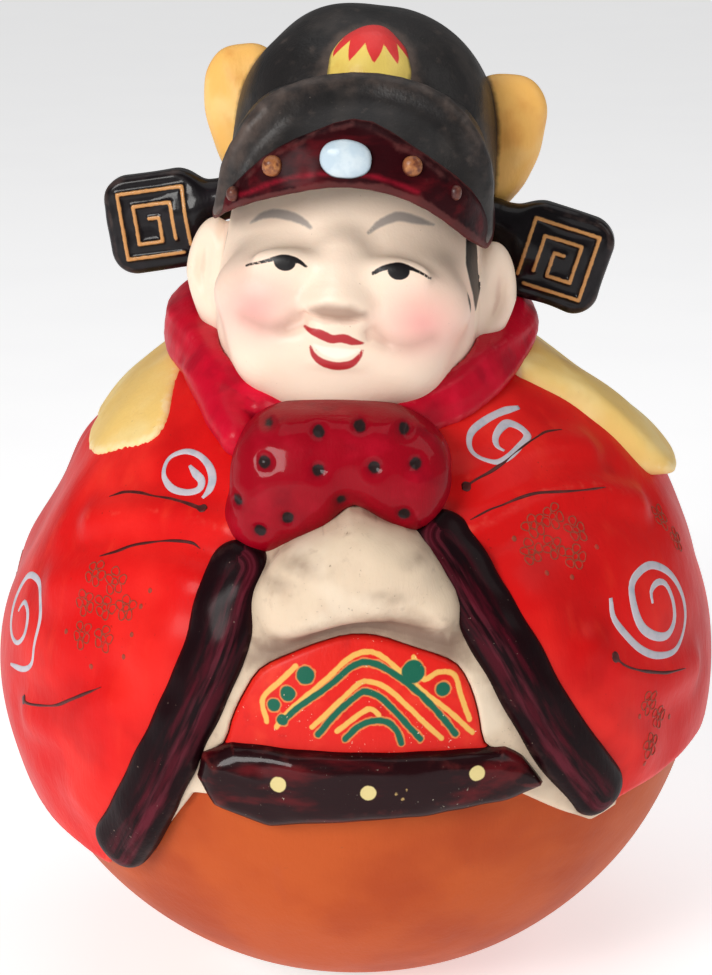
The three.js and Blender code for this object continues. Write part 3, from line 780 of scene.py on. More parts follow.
# Soft folds in the robe: the route as (bearing, latitude), width and height.
FOLDS = [
    ([(21, 33), (28, 35), (38, 37), (50, 36), (62, 31)], 2.6, 1.0),
    ([(24, 41), (34, 42.5), (44, 44), (56, 42)], 3.0, 0.9),
    ([(-24, 33), (-32, 33.5), (-42, 33), (-54, 30)], 2.8, 1.0),
    ([(-27, 25), (-36, 26), (-46, 23), (-58, 18)], 3.2, 0.7),
    ([(-62, -4), (-54, -4), (-46, 0), (-40, 4)], 3.0, 0.8),
    ([(40, 13), (46, 7), (54, 3), (66, 3)], 3.0, 0.8),
    ([(28, 22), (34, 12), (42, 2), (50, -6)], 5.0, 0.9),
    ([(-30, 22), (-33, 10), (-40, -4), (-48, -14)], 5.0, 0.9),
    ([(110, 30), (128, 10), (150, 0)], 7.0, 1.1),
    ([(-110, 32), (-130, 12), (-152, 2)], 7.0, 1.1),
    ([(90, 40), (100, 18), (112, 0)], 6.0, 0.8),
    ([(-88, 38), (-100, 18), (-112, -2)], 6.0, 0.8),
    ([(178, 42), (172, 18), (180, -4)], 8.0, 1.0)]
FOLD_LINES = [(ball_line(route, ROBE, 14), width, height) for route, width, height in FOLDS]


def robe_face(p):
    """The robe's outer face, before it is cut."""
    d = ball(p) - ROBE
    for line, width, height in FOLD_LINES:
        away = away_from(p, line, 4.5 * width)
        beside = 0.45 * height * np.exp(-((away - 2 * width) / width) ** 2)
        d = d - height * np.exp(-(away / width) ** 2) + beside
    return d


ROBE_EDGE_Z = 46
ROBE_EDGE_DROP = 45.5, 0.15, 0.25  # over the sleeves: its height in the middle, and its rise with x and y
ROBE_EDGE_STEEPNESS = 1.04


def robe(p):
    face = robe_face(p)
    cloth = meet(face, -(face + ROBE + EMBED), 0.4)
    opening = np.maximum(outline(p, OPENING + OPENING_FOOT), p[:, 1] + 5)
    turn = np.arctan2(p[:, 0], -p[:, 1])
    wave = 0.9 * np.sin(9 * turn + 0.6) + 0.5 * np.sin(17 * turn)
    z, by_x, by_y = ROBE_EDGE_DROP
    dropped = (z + by_x * p[:, 0] + by_y * p[:, 1] - p[:, 2]) / ROBE_EDGE_STEEPNESS
    edge = np.minimum(ROBE_EDGE_Z - p[:, 2], dropped) + wave
    cloth = meet(cut(cloth, opening, 1.0), edge, 2.4)
    return cut(cloth, head_form(to_head(p), HEAD_GAP), 0.4)


def strip(p, line, widths, height, lift):
    """A padded strip lying on the ball along a line."""
    over = ball(p)
    centre = np.array(BALL_CENTRE)
    out = p - centre
    foot = centre + out * (1 - (over - lift) / np.maximum(length(out), 1))[:, None]
    across, near, tangent, share = along(foot, line)
    half = (widths[0] + (widths[1] - widths[0]) * share) / 2
    side = np.sign((np.cross(tangent, out) * (foot - near)).sum(1))
    return oval(across, over - lift, half, height / 2, 2.5), share, side * across / half


def sunk(p, d):
    """Kept down to the embedding depth under the body's face."""
    return meet(d, -(ball(p) + EMBED), 0.3)


CUFF_LINES = {"right": ball_line(CUFF_RIGHT, CUFF_RAISE, 26), "left": ball_line(CUFF_LEFT, CUFF_RAISE, 26)}


def cuff(p, side):
    d, _, _ = strip(p, CUFF_LINES[side], CUFF_WIDTH, CUFF_HEIGHT - 0.6, CUFF_RAISE)
    return sunk(p, d - 0.22 * waves(p, 9, 5))


def cuff_inward(p, side):
    """From -1 at a cuff's outer edge to 1 at its inner edge."""
    inward = strip(p, CUFF_LINES[side], CUFF_WIDTH, CUFF_HEIGHT, CUFF_RAISE)[2]
    return inward if side == "left" else -inward


def cuff_run(p, side):
    return strip(p, CUFF_LINES[side], CUFF_WIDTH, CUFF_HEIGHT, CUFF_RAISE)[1]


HEM_LINE = ball_line([(HEM_ENDS[0] + (HEM_ENDS[1] - HEM_ENDS[0]) * i / 6, HEM_LATITUDE) for i in range(7)],
                     HEM_RAISE, 24)
HEM_DOTS = [(-12.7, 54.9), (2, 53.8), (19.8, 56.2)]
HEM_SPECKS = [(6.6, 53.6), (8.2, 54.2), (7.6, 52.6)]


def hem(p):
    d, _, _ = strip(p, HEM_LINE, (HEM_WIDTH + 4.5, HEM_WIDTH + 1), HEM_HEIGHT, HEM_RAISE)
    torn = outline(p, HEM_OUTLINE) + 0.25 * waves(p, 7, 8)
    return sunk(p, meet(d - 0.18 * waves(p, 8, 9), torn, 3.0))


def spots(p, centres):
    """Distance from the nearest of some places seen from the front."""
    return np.min([length(p[:, [0, 2]] - centre) for centre in centres], axis=0)


HANDS_SHAPE = soft(HANDS_OUTLINE, 38)


def hands(p):
    """The joined hands in their white sleeves."""
    mass = meet(rounded(p, **HANDS), outline(p, HANDS_SHAPE), 5)
    mass = mass - groove(p, HAND_SWELL, 4.5, 0.8) + groove(p, HAND_HOLLOW, 4.0, 0.7)
    return mass - 0.2 * waves(p, 11, 14)


HAND_SWELL = smooth_line([(-16, -58, 84), (-9, -64, 82), (-2, -66, 86), (3, -65, 91)], 10)
HAND_HOLLOW = smooth_line([(15, -60, 90), (11, -64, 85), (8, -66, 79)], 8)


def grime(p):
    """Grubby patches by the bow and on the hands' right, a painted shadow under the hands' arch above the
    apron, and a darker colour along the cuffs.
    """
    q = p[:, [0, 2]]
    patches = [length((q - c) * (0.6, 1.3)) - r for c, r in GRIME_AND_SHADE_PATCHES]
    under = along(p, SLEEVE_SHADOW)[0] - 4.4
    by_cuffs = np.minimum(along(p, CUFF_LINES["left"])[0], along(p, CUFF_LINES["right"])[0]) - 5.4
    return np.minimum(np.min(patches, axis=0), np.minimum(by_cuffs, under)) + 1.2


# Each a place as (x, z) and how far the darkening is spread; the last, low in the middle, deepens the
# painted shadow under the hands' arch, and the others are grubby smudges.
GRIME_AND_SHADE_PATCHES = [
    ((-8.6, 91.6), 1.6), ((4.2, 87.4), 0.2), ((5.8, 86.6), 0.2), ((-13, 88.6), 1.2), ((10, 92.6), 0.8),
    ((2, 76.5), 1.2)]
SLEEVE_SHADOW = smooth_line([(-14, -57.6, 74.6), (-7.4, -60.4, 78.2), (-1.8, -61, 80), (4.7, -61, 80.2),
                             (10.3, -60, 78.2), (15, -58, 75.8)], 14)


def white_sleeves(p):
    lining = meet(ball(p) - LINING - 0.25 * waves(p, 8, 3), -(ball(p) + EMBED), 0.4)
    lining = meet(lining, outline(p, OPENING + LINING_FOOT), 1.2)
    lining = cut(lining, outline(p, APRON_SHAPE) - 0.2, 0.8)
    lining = meet(lining, p[:, 1] + 10)
    return sunk(p, join(hands(p), lining, 2.6))


# The apron's painted waves, as (x, z), from the outermost inwards.
WAVES_YELLOW = [
    [(-13, 63.6), (-10.7, 66.7), (-4.5, 72.1), (-1.8, 74.7), (1.1, 76.2), (3.9, 75.7), (6.7, 73.4),
      (10.5, 70), (15.2, 66.1), (19.1, 62.1)],
    [(-7.2, 63.9), (-3.1, 67.8), (0.5, 71.1), (2.2, 71.4), (5.1, 70.3), (8.9, 66.8), (14, 61.6)],
    [(-3.1, 63.3), (-0.3, 65.5), (2.2, 67), (3.7, 66)],
    [(9.4, 75.2), (10.9, 71.6), (13.4, 72.6), (16, 72), (17.2, 68.4), (18.6, 64.4)],
    [(-9.8, 73.8), (-12.4, 71.2), (-15.2, 68.2), (-14.6, 64.4)]]
WAVES_GREEN = [
    [(-11.9, 64.6), (-9.7, 66.9), (-4.2, 70.9), (-1.3, 73.4), (1.1, 74.6), (3.9, 74), (7.1, 72),
      (10.5, 69.2), (13.6, 65.8), (16.3, 62.2)],
    [(-6.2, 62.7), (-2.8, 66.7), (0.5, 69.4), (1.8, 69.8), (4.3, 68.6), (7.4, 65.4), (10.5, 61.8)],
    [(-1.8, 62), (0.5, 64.2), (3.2, 65.1), (5.5, 64.6), (6.8, 63), (7.4, 61.2)]]
LEAVES = [
    ((-8.2, 72.4), 1.5), ((-11.1, 69.3), 1.3), ((-13.4, 67.3), 1.1), ((-12, 64.9), 1.0),
    ((9.3, 72.9), 1.9), ((14.2, 69.8), 1.2)]
APRON_SHAPE = soft(APRON, 60)


def apron(p):
    cloth = meet(ball(p) - LINING - 0.15 * waves(p, 9, 4), -(ball(p) + EMBED), 0.4)
    return meet(meet(cloth, outline(p, APRON_SHAPE), 0.9), p[:, 1] + 10)


def frontal_line(points, count=30):
    return smooth_line([(x, 0, z) for x, z in points], count)


def painted_lines(lines):
    lines = [frontal_line(points) for points in lines]

    def away(p):
        q = p * (1, 0, 1)
        return np.min([along(q, line)[0] for line in lines], axis=0)
    return away


def green_marks(p):
    leaves = np.min([length(p[:, [0, 2]] - c) - r + 0.55 for c, r in LEAVES], axis=0)
    return np.minimum(painted_lines(WAVES_GREEN)(p), np.maximum(leaves, 0))


# ---------- bow, scarf and mantle ----------

BOW_DOTS = [
    (-14.4, -50.9, 112.5), (-6.1, -54.3, 111.5), (0.6, -53.5, 112.3), (7.9, -52.7, 111.7),
    (-14.8, -55.3, 106.7), (-6.1, -57, 105.7), (2.9, -56.8, 106.1), (9.7, -55.4, 106.4),
    (-11, -56.7, 97.7), (-15.6, -54.9, 95.2), (-2.3, -57.3, 100.4), (7.8, -56.3, 98.2),
    (-19.5, -54.1, 99.9)]


def bow_form(p):
    knot = meet(rounded(p, **BOW), outline(p, BOW_SHAPE), 5.5)
    return knot + groove(p, BOW_PINCH, 3.2, 0.9) + 0.2 * waves(p, 10, 6)


BOW_SHAPE = soft(BOW_OUTLINE, 50)
BOW_PINCH = smooth_line([(0.6, -52, 94), (-0.6, -56.5, 98), (-1.5, -57, 103)], 8)


def dots_away(p):
    return np.min([length((p - c) * (1, 0.35, 1)) for c in BOW_DOTS], axis=0)


def bow(p):
    return sunk(p, bow_form(p) + 0.75 * np.exp(-(dots_away(p) / 1.3) ** 2))


mirrored = [(2 * SCARF_FRONT[0] - x, y, z) for x, y, z in reversed(SCARF_SIDE)]
SCARF_LINE = smooth_line([SCARF_FRONT, *SCARF_SIDE, SCARF_BACK, *mirrored], 60, closed=True)
# Down to the bow on the right.
SCARF_END = smooth_line([(-24.5, -24, 114), (-22.4, -34, 110.6), (-19.5, -42, 107.4)], 6)
SCARF_OPENING, SCARF_UPRIGHT = (-1, -6), 14  # it opens like a bowl about this x and y
SCARF_FOLDS = [(3.4, 0.55), (-0.6, 0.4), (-3.6, 0.3)]  # how far across the collar, and how high


def scarf(p):
    _, near, tangent, share = along(p, SCARF_LINE)
    up = np.column_stack([near[:, :2] - SCARF_OPENING, np.full(len(p), SCARF_UPRIGHT)])
    up -= (up * tangent).sum(1)[:, None] * tangent
    up /= length(up)[:, None]
    side = np.cross(tangent, up)
    off = p - near
    across, over = (off * side).sum(1), (off * up).sum(1)
    d = oval(across, over, SCARF_WIDTH / 2, SCARF_HEIGHT / 2)
    for i, (at, height) in enumerate(SCARF_FOLDS):
        drift = 1.3 * np.sin(2 * math.pi * (share * 3 + i / 3))
        d = d - height * np.exp(-((across - at - drift) / 1.1) ** 2)
    d = join(d, tube(p, SCARF_END, 4.2, 3.2), 3)
    return cut(d + 0.15 * waves(p, 10, 7), head_form(to_head(p), 0.1), 0.3)


def mantle(p):
    q = p - (MANTLE_SHIFT, 0, 0)
    cover = ball(q) - MANTLE_HEIGHT - 0.35 * waves(p, 17, 11)
    plan = outline(p, MANTLE_PLAN, (0, 1)) + 0.3 * waves(p, 12, 12)
    edge = MANTLE_EDGE + MANTLE_RISE * p[:, 0] + 0.5 * np.sin(7 * np.arctan2(p[:, 0], p[:, 1]))
    z, slope, x = MANTLE_TIP
    tip = z + slope * (p[:, 0] - x) - 1.5 * np.maximum(p[:, 1] + 14, 0)
    cloth = meet(meet(cover, plan, 2.6), np.maximum(edge, np.where(p[:, 0] < 0, tip, 0)) - p[:, 2], 2.6)
    return cut(sunk(p, cloth), head_form(to_head(p), HEAD_GAP), 0.4)


# ---------- brush marks laid on the robe ----------

def ribbon(line, widths, closed=False, height=0.13):
    """A flat brush stroke on the robe: points and faces of a closed low strip."""
    line = settle(np.asarray(line), robe_face, 4, 3.0)
    n = slopes(robe_face, line)
    n /= length(n)[:, None]
    ahead = np.roll(line, -1, 0) - np.roll(line, 1, 0)
    if not closed:
        ahead[0], ahead[-1] = line[1] - line[0], line[-1] - line[-2]
    side = np.cross(ahead, n)
    side /= length(side)[:, None]
    shares = np.array([-1, -0.8, -0.45, 0, 0.45, 0.8, 1])
    out = shares[:, None] * np.asarray(widths)[:, None, None] / 2
    top = (line[:, None] + side[:, None] * out).reshape(-1, 3)
    top = settle(top, robe_face, 2, 1.0).reshape(len(line), -1, 3)
    lift = np.where(np.abs(shares) == 1, 0.02, height * np.sqrt(1 - shares ** 2))
    top = top + n[:, None] * lift[:, None]
    rings = np.concatenate([top, top[:, [6, 3, 0]] - n[:, None] * (0.3 + lift[[6, 3, 0], None])], 1)
    count, m = rings.shape[:2]
    faces = []
    for i in range(count if closed else count - 1):
        a, b = i * m, (i + 1) % count * m
        faces += [(a + j, a + (j + 1) % m, b + (j + 1) % m, b + j) for j in range(m)]
    if not closed:
        faces += [tuple(range(m)), tuple(range((count - 1) * m, count * m))]
    return rings.reshape(-1, 3), faces


def marks(name, strokes, material, slot):
    """Several brush strokes as one piece."""
    points, faces = [], []
    for stroke_points, stroke_faces in strokes:
        first = sum(len(p) for p in points)
        faces += [tuple(first + i for i in face) for face in stroke_faces]
        points.append(stroke_points)
    return piece(name, np.vstack(points), faces, material, slot)


def brush(route, width, start=0.35, end=0.15, blob=0.0, count=46, wander=0.16, seed=0):
    """A stroke that swells from a thin start, with a round blob at its end if blob is set."""
    line = ball_line(route, ROBE, count)
    t = np.linspace(0, 1, count)
    body_width = width * (1 + wander * np.sin(9 * t + seed) + 0.5 * wander * np.sin(23 * t + 2 * seed))
    taper = np.minimum(1, np.minimum(start + t / 0.12, end + (1 - t) / 0.1))
    widths = body_width * taper
    if blob:
        run = np.r_[0, np.cumsum(length(np.diff(line, axis=0)))]
        away = (run[-1] - blob / 2 - run) / (blob / 2)
        widths = np.maximum(widths, blob * np.sqrt(np.maximum(1 - away ** 2, 0)))
        widths[-1] = 0.2
    return ribbon(line, np.maximum(widths, 0.12))


def loop(bearing, latitude, radius, width, seed):
    """A small painted ring, not quite round."""
    centre = on_ball(bearing, latitude, ROBE)
    out = centre - BALL_CENTRE
    out /= np.linalg.norm(out)
    east = np.cross((0, 0, 1), out)
    east /= np.linalg.norm(east)
    north = np.cross(out, east)
    a = np.linspace(0, 2 * math.pi, 14, endpoint=False)
    r = radius * (1 + 0.12 * np.sin(2 * a + seed) + 0.08 * np.sin(3 * a + 2 * seed))
    line = centre + np.outer(r * np.cos(a), east) + np.outer(r * np.sin(a), north)
    return ribbon(line, width * (1 + 0.3 * np.sin(3 * a + seed)), closed=True)


def dot(bearing, latitude, radius):
    line = smooth_line([on_ball(bearing, latitude - math.degrees(radius / ROBE_RADIUS), ROBE),
                        on_ball(bearing, latitude + math.degrees(radius / ROBE_RADIUS), ROBE)], 9)
    t = np.linspace(-1, 1, 9)
    return ribbon(line, np.maximum(2 * radius * np.sqrt(np.maximum(1 - t * t, 0)), 0.12))


# Routes as (bearing, latitude), then the width in millimetres, and for a line the blob at its end.
SPIRALS = [
    ([(-36, 42), (-34, 41), (-32, 40), (-32, 38.6), (-34.5, 37.8), (-38, 38), (-41, 39.4), (-42, 41.4),
      (-41.4, 43), (-38.6, 44.2), (-35, 44), (-31.6, 42.6), (-29.8, 40.8), (-29.6, 39), (-30.4, 37.4)],
      1.15),
    ([(45, 52), (40, 52), (34, 51.2), (28.6, 49.6), (26.4, 47.8), (26, 45.8), (27.4, 44), (30, 43),
      (33.4, 43.6), (37.4, 45), (41, 46.4), (41.6, 48), (40.6, 49.2), (38.6, 49.8), (35.6, 49),
      (33.2, 47.6), (32.4, 46), (33.2, 44.8)], 1.25),
    ([(45, 19), (45, 16), (47, 13), (50, 10), (54, 8), (59, 7.4), (62.6, 9), (64.4, 12), (64.4, 15.4),
      (62, 19), (57.4, 21.4), (53, 21.2), (50.2, 19.6), (49.8, 16), (51, 13), (54, 11), (57.4, 10.4),
      (60, 12), (60.8, 15), (59.8, 17.8), (57.4, 18.6), (55, 17.8), (54.6, 16)], 1.35),
    ([(-70, 2), (-64, 3), (-60.4, 5), (-60, 8), (-60, 12), (-61.4, 15), (-63.6, 17), (-67, 17.4),
      (-70, 16.4), (-72, 14), (-73, 11), (-72.2, 8), (-70, 6.4), (-67, 6.4), (-64.6, 8), (-64, 10),
      (-64.8, 12), (-67, 13), (-68.4, 12), (-69, 11)], 1.15)]
BRUSH_LINES = [
    ([(-52, 34), (-49, 35.4), (-45, 36), (-41, 36), (-37, 36.2), (-33, 36), (-30, 35.6), (-28.4, 35.8)],
      0.55, 1.7),
    ([(-28, 29.6), (-30, 30.2), (-34, 30), (-38, 29.2), (-42, 28), (-45, 26.4), (-48, 25)], 0.5, 0),
    ([(52, 46), (47, 46.4), (43, 45.8), (38, 44.8), (32, 43), (28, 41.8), (24, 40.8), (21, 39.6)], 0.5,
      1.8),
    ([(53, 35), (47, 35.8), (42, 36.4), (36, 37), (32, 36.8), (28, 36.2), (25, 35.8), (21, 34.6)], 0.45,
      0),
    ([(61, 4), (56, 4.8), (53, 5.6), (48, 7.2), (44.6, 8.8), (42.4, 11)], 0.5, 2.0),
    ([(-42, 6), (-46, 4), (-49, 2.4), (-53, 0.4), (-58, -1), (-62, -1.8), (-64, -1.4)], 0.5, 1.8)]
FLOWERS = [
    (-47, 22.4), (-42.6, 22), (-48.4, 17.6), (-44, 17.8), (-39.6, 18.6), (-47.6, 12.8), (-43, 13.2),
    (33.6, 32.4), (38, 33.2), (42, 30.4), (36, 28.6), (39.8, 26.4), (31.4, 28.6), (50.4, 1.6),
    (53.8, -1.8), (51, -5.4), (67.4, 27), (69.4, 22.6), (-98, 11), (-102, 8), (100, 11), (104, 8),
    (150, 14), (154, 10), (-150, 14), (-154, 10)]
FLOWER_DOTS = [
    (-35, 22), (-37, 15), (-38.2, 11.4), (-51.6, 12.4), (-45, 8.4), (-36.4, 19.4), (45, 27), (29, 31),
    (33, 25), (38, 23.6), (48, 0), (50, -8), (58, -3), (-94, 10), (96, 10)]
FLOWER_DOT_RADIUS = 0.45


def flower(bearing, latitude, seed):
    """Five small rings round another."""
    rings = [loop(bearing, latitude, 0.6, 0.22, seed)]
    for i in range(5):
        turn, away = 2 * math.pi * i / 5 + seed, 1.45 + 0.25 * math.sin(3 * i + seed)
        east = math.degrees(away * math.cos(turn) / ROBE_RADIUS / math.cos(math.radians(latitude)))
        rings.append(loop(bearing + east, latitude + math.degrees(away * math.sin(turn) / ROBE_RADIUS),
                          0.78, 0.24, i + seed))
    return rings


# ---------- the head ----------

EAR = dict(radii=(4.6, 5.2, 10.2), centre=(24.2, -4, 9.4))
EAR_LOBE = dict(radii=(2.6, 3.4, 4.4), centre=(22.6, -6.4, 1.4))
EAR_BOWL = dict(radii=(1.6, 2.8, 5.4), centre=(25.8, -9.4, 12))
EAR_BEND_Z, EAR_BEND = 10, 0.2  # where the ear starts to lean in towards the jaw, and how much


def ear(q, side):
    """A C-shaped ear with a long lobe."""
    m = q * (side, 1, 1)
    m[:, 0] += EAR_BEND * np.maximum(EAR_BEND_Z - m[:, 2], 0)
    shell = join(rounded(m, **EAR), rounded(m, **EAR_LOBE), 4)
    return cut(shell, rounded(m, **EAR_BOWL), 2.6)


NOSE_RIDGE = smooth_line([(0.1, -29.0, 20), (0.2, -30.6, 16.4), (0.2, -31.8, 13.8), (0.3, -32.2, 12.6)], 8)
NOSE_BASE = smooth_line([(-4.4, -32.6, 10), (-2, -34.4, 9.5), (0.3, -35.2, 9.3), (2.6, -34.4, 9.5),
                         (4.9, -32.6, 10)], 10)
MOUTH = smooth_line([(-5, -32.6, 5.9), (-2.6, -33.2, 4.9), (0.6, -33.6, 4.5), (3.6, -33.2, 4.7),
                     (5.6, -32.6, 5.6)], 12)
CHEEK_FOLDS = [
    smooth_line([(-5.6, -32.8, 8.6), (-8, -31.8, 7.2), (-11.5, -29.8, 7.1), (-15.4, -26.8, 8.8)], 10),
    smooth_line([(6.2, -32.8, 7.4), (9, -31.6, 6.1), (12.6, -29.4, 6.3), (16.4, -26.2, 8.2)], 10)]

# Swellings of the face: the radii, the centre and how softly it joins. One on each side also has its
# distance out from the centre's x.
PAIRED_SWELLINGS = {
    "cheek": ((8.8, 6.6, 6.6), 12.4, (0.4, -25.9, 11.4), 6),
    "jowl": ((7.6, 6.0, 6.0), 9.0, (0.4, -26.6, 1.4), 6),
    "eyelid": ((5.2, 1.7, 2.2), 9.0, (0.2, -31.1, 17.8), 3.2),
    "nostril": ((2.0, 2.0, 1.5), 3.2, (0.3, -32.2, 11.3), 2.4)}
MIDDLE_SWELLINGS = {
    "muzzle": ((6.6, 3.6, 4.4), (0.4, -30.2, 5.4), 4),
    "chin": ((7.4, 5, 4.6), (0.2, -28.2, -4.4), 5),
    "lower_lip": ((4.2, 1.4, 1.0), (0.7, -33, 2.6), 1.4),
    "upper_lip": ((5.0, 1.3, 0.9), (0.2, -33.1, 7.2), 1.2)}


def head(q):
    d = head_form(q)
    for side in (-1, 1):
        d = join(d, ear(q, side), 1.6)
        for radii, out, (x, y, z), blend in PAIRED_SWELLINGS.values():
            d = join(d, rounded(q, radii, (side * out + x, y, z)), blend)
    d = join(d, tube(q, NOSE_RIDGE, 2.6, 3.4), 4.2)
    d = d + groove(q, NOSE_BASE, 1.0, 0.6)
    for radii, centre, blend in MIDDLE_SWELLINGS.values():
        d = join(d, rounded(q, radii, centre), blend)
    d = d + groove(q, MOUTH, 0.9, 0.35)
    for line in CHEEK_FOLDS:
        d = d + groove(q, line, 1.8, 0.9)
    neck = np.maximum(length(q[:, :2] - [0, NECK_Y]) - NECK_RADIUS,
                      np.maximum(NECK_BOTTOM - q[:, 2], q[:, 2]))
    return join(d, neck, 0.6)


def tapered(points, widths):
    """Signed distance from a stroke of changing width, seen from the front; points are (x, z)."""
    line = frontal_line(points, 24)
    widths = np.asarray(widths, float)

    def away(q):
        d, _, _, share = along(q * (1, 0, 1), line)
        return d - np.interp(share, np.linspace(0, 1, len(widths)), widths) / 2
    return away


def front_only(q, d):
    return np.where(q[:, 1] < -15, d, 20)


def union(fields):
    return lambda q: front_only(q, np.min([f(q) for f in fields], axis=0))


BROWS = union([
    tapered([(-16.4, 21.9), (-14.4, 23.5), (-12, 24.4), (-9.1, 24.5), (-6.9, 24.0), (-5.6, 23.3)],
      [.2, .9, 1.35, 1.5, 1.3, .6]),
    tapered([(4.1, 23.4), (5.6, 24.8), (7.7, 25.8), (9, 26.0), (11.5, 25.4), (14.4, 24.5)],
      [.5, 1.2, 1.5, 1.4, 1.0, .2])])
LIPS = union([
    tapered([(-4.9, 7.9), (-3.5, 7.4), (-2.3, 7.2), (-1.1, 6.8), (0, 6.5), (1.6, 6.8), (3.2, 6.4),
      (5.0, 6.1)], [.35, 1.1, 1.6, 1.6, 1.4, 1.6, 1.2, .35]),
    tapered([(-3.6, 4.9), (-3, 3.6), (-1.6, 2.5), (0.8, 2.0), (3.1, 2.5), (4.4, 3.7), (5.0, 5)],
      [.4, 1.0, 1.4, 1.5, 1.4, 1.0, .4])])
TEETH = union([tapered([(-3, 5.2), (-1.4, 4.5), (0.8, 4.2), (2.8, 4.4), (4.4, 5.0)],
                       [.4, 1.4, 1.9, 1.4, .4])])
SMILE_SHADES = union([
    tapered([(-6.4, 9.6), (-8.6, 7.6), (-11.5, 7.2), (-15, 8.2)], [.4, 1.0, 1.2, .4]),
    tapered([(6.8, 8.8), (9.2, 6.6), (12.6, 6.3), (16, 7.6)], [.4, 1.0, 1.2, .4])])
NOSE_SHADE = union([tapered([(-3.8, 11), (-1.6, 11.1), (0.4, 11), (2.4, 11.1), (4.6, 11)],
                            [.8, 2.4, 2.6, 2.4, .8])])
EYE_LINES = [
    tapered([(-15.5, 16.5), (-14.2, 17.2), (-12.4, 17.9), (-9.4, 18.9), (-6.9, 18.6), (-5.3, 17.7)],
      [.3, .42, .6, .9, .85, .4]),
    tapered([(5.6, 17.6), (7.2, 18.6), (9.8, 19.3), (12.2, 18.8), (14.0, 18.0), (15.1, 17.2)],
      [.6, .85, .9, .6, .42, .3])]
SIDEBURNS = [
    [(-22.9, 24), (-21.4, 21), (-21.3, 17.8), (-21.9, 13.6), (-22.6, 16.6), (-22.9, 20)],
    [(22.6, 22), (19.6, 21.6), (20, 17.6), (21.6, 12.4), (22.3, 9.2), (22.8, 14), (22.9, 18)]]


PUPILS = [(-8.9, 18.2), (9.8, 18.4)]
PUPIL_RADIUS, PUPIL_WIDTH, PUPIL_TOP = 1.45, 0.8, 0.8


def black_marks(q):
    """The eye lines, the pupils and the sideburns."""
    drawn = [f(q) for f in EYE_LINES]
    for x, z in PUPILS:
        pupil = length((q[:, [0, 2]] - (x, z)) * (PUPIL_WIDTH, 1)) - PUPIL_RADIUS
        drawn.append(np.maximum(pupil, q[:, 2] - z - PUPIL_TOP))
    near = front_only(q, np.min(drawn, axis=0))
    hair = np.min([outline(q, s) for s in SIDEBURNS], axis=0)
    return np.minimum(near, np.where(q[:, 1] < -9, hair, 20))


BLUSH_AT, BLUSH_RADIUS = [(-13.6, 10), (14.4, 10)], 4.0


def blush(q):
    patches = [length((q[:, [0, 2]] - centre) * (0.9, 1.05)) for centre in BLUSH_AT]
    return front_only(q, np.min(patches, axis=0) - BLUSH_RADIUS)


# ---------- the hat ----------

def edge_level(q):
    """The height of the hat's lower edge, which drops towards the back."""
    return HAT_EDGE_Z - HAT_EDGE_SLOPE * (q[:, 1] - HAT_EDGE_Y)


VISOR_RIDGE = smooth_line([
    (-20.4, -25.2, 24), (-19.2, -27, 33), (-15.8, -27.6, 39.6), (-10.6, -25, 44.2), (-0.2, -21.6, 46.8),
    (10.2, -22, 46), (17, -22.6, 42.4), (21, -21.4, 35), (21.8, -19, 24)], 20)


BAND_LOWER = [
    (-24.5, 19.5), (-20.1, 24.2), (-15.6, 27), (-11.2, 28.9), (-3.8, 31.2), (2.4, 31.8), (8.4, 31),
    (14.1, 28.6), (20.1, 23.8), (24.7, 19)]
BAND_UPPER = [
    (24.7, 22.6), (23.4, 26.6), (20.6, 31), (17, 34.6), (9.4, 39.3), (1.2, 42.2), (-7.7, 38.9),
    (-13.7, 34.9), (-18.4, 29.8), (-21.8, 26), (-24.5, 22.8)]
BAND_SHAPE = soft(BAND_LOWER + BAND_UPPER, 40)


BROW_SIDES, BROW_DROP = 11, 4.6


def brow_edge(q, lower=0.0):
    """Below the hat's edge over the forehead, an arch seen from the front that drops at the sides."""
    x, z = np.array(BAND_LOWER).T
    arch = np.interp(q[:, 0], x, z, BROW_SIDES, BROW_SIDES)
    return np.maximum(arch, edge_level(q) - BROW_DROP) - lower - q[:, 2]


VISOR_RIDGE_RADIUS = 1.6


def ridge_away(q):
    return away_from(q, VISOR_RIDGE, 12) - VISOR_RIDGE_RADIUS


VISOR_HOLLOW = smooth_line([(-17, -30.5, 35), (-9, -32, 41.5), (0.4, -30.5, 43.6), (9.6, -32, 41.5),
                            (18, -29.5, 35.5)], 12)


HAT_OVERLAP = 0.6  # how far the hat goes under the head's surface


def hat_front(q):
    cap = rounded(q, **HAT_FRONT)
    cap = join(cap, tube(q, VISOR_RIDGE, VISOR_RIDGE_RADIUS), 5.0)
    cap = cap + groove(q, VISOR_HOLLOW, 4.5, 1.3) + 0.2 * waves(q, 12, 21)
    cap = meet(cap, brow_edge(q, -0.8), 1.0)
    return cut(cap, head_form(q, -HAT_OVERLAP), 0.5)


SEAM_X, SEAM_FROM_Y, SEAM_WIDTH, SEAM_DEPTH = 0.6, 18, 2.4, 0.6


def hat_crown(q):
    hood = rounded(q, **HAT_CROWN) - 0.5 * waves(q, 16, 22)
    seam = SEAM_DEPTH * np.exp(-((q[:, 0] - SEAM_X) / SEAM_WIDTH) ** 2)
    seam = seam / (1 + np.exp((SEAM_FROM_Y - q[:, 1]) / 2.5))
    hood = meet(hood + seam, (edge_level(q) - q[:, 2]) / math.hypot(1, HAT_EDGE_SLOPE), 1.6)
    hood = meet(hood, HAT_NAPE - q[:, 2], 1.6)
    return cut(hood, head_form(q, -HAT_OVERLAP), 0.5)


# Where the band's painted highlight line runs, seen from the front.
BAND_GLEAM = smooth_line([(-17, 0, 28.4), (-10, 0, 32), (-3, 0, 33.8), (5, 0, 34), (12, 0, 32)], 14)


def band_face(q):
    return rounded(q, **HAT_FRONT) - BAND_THICKNESS


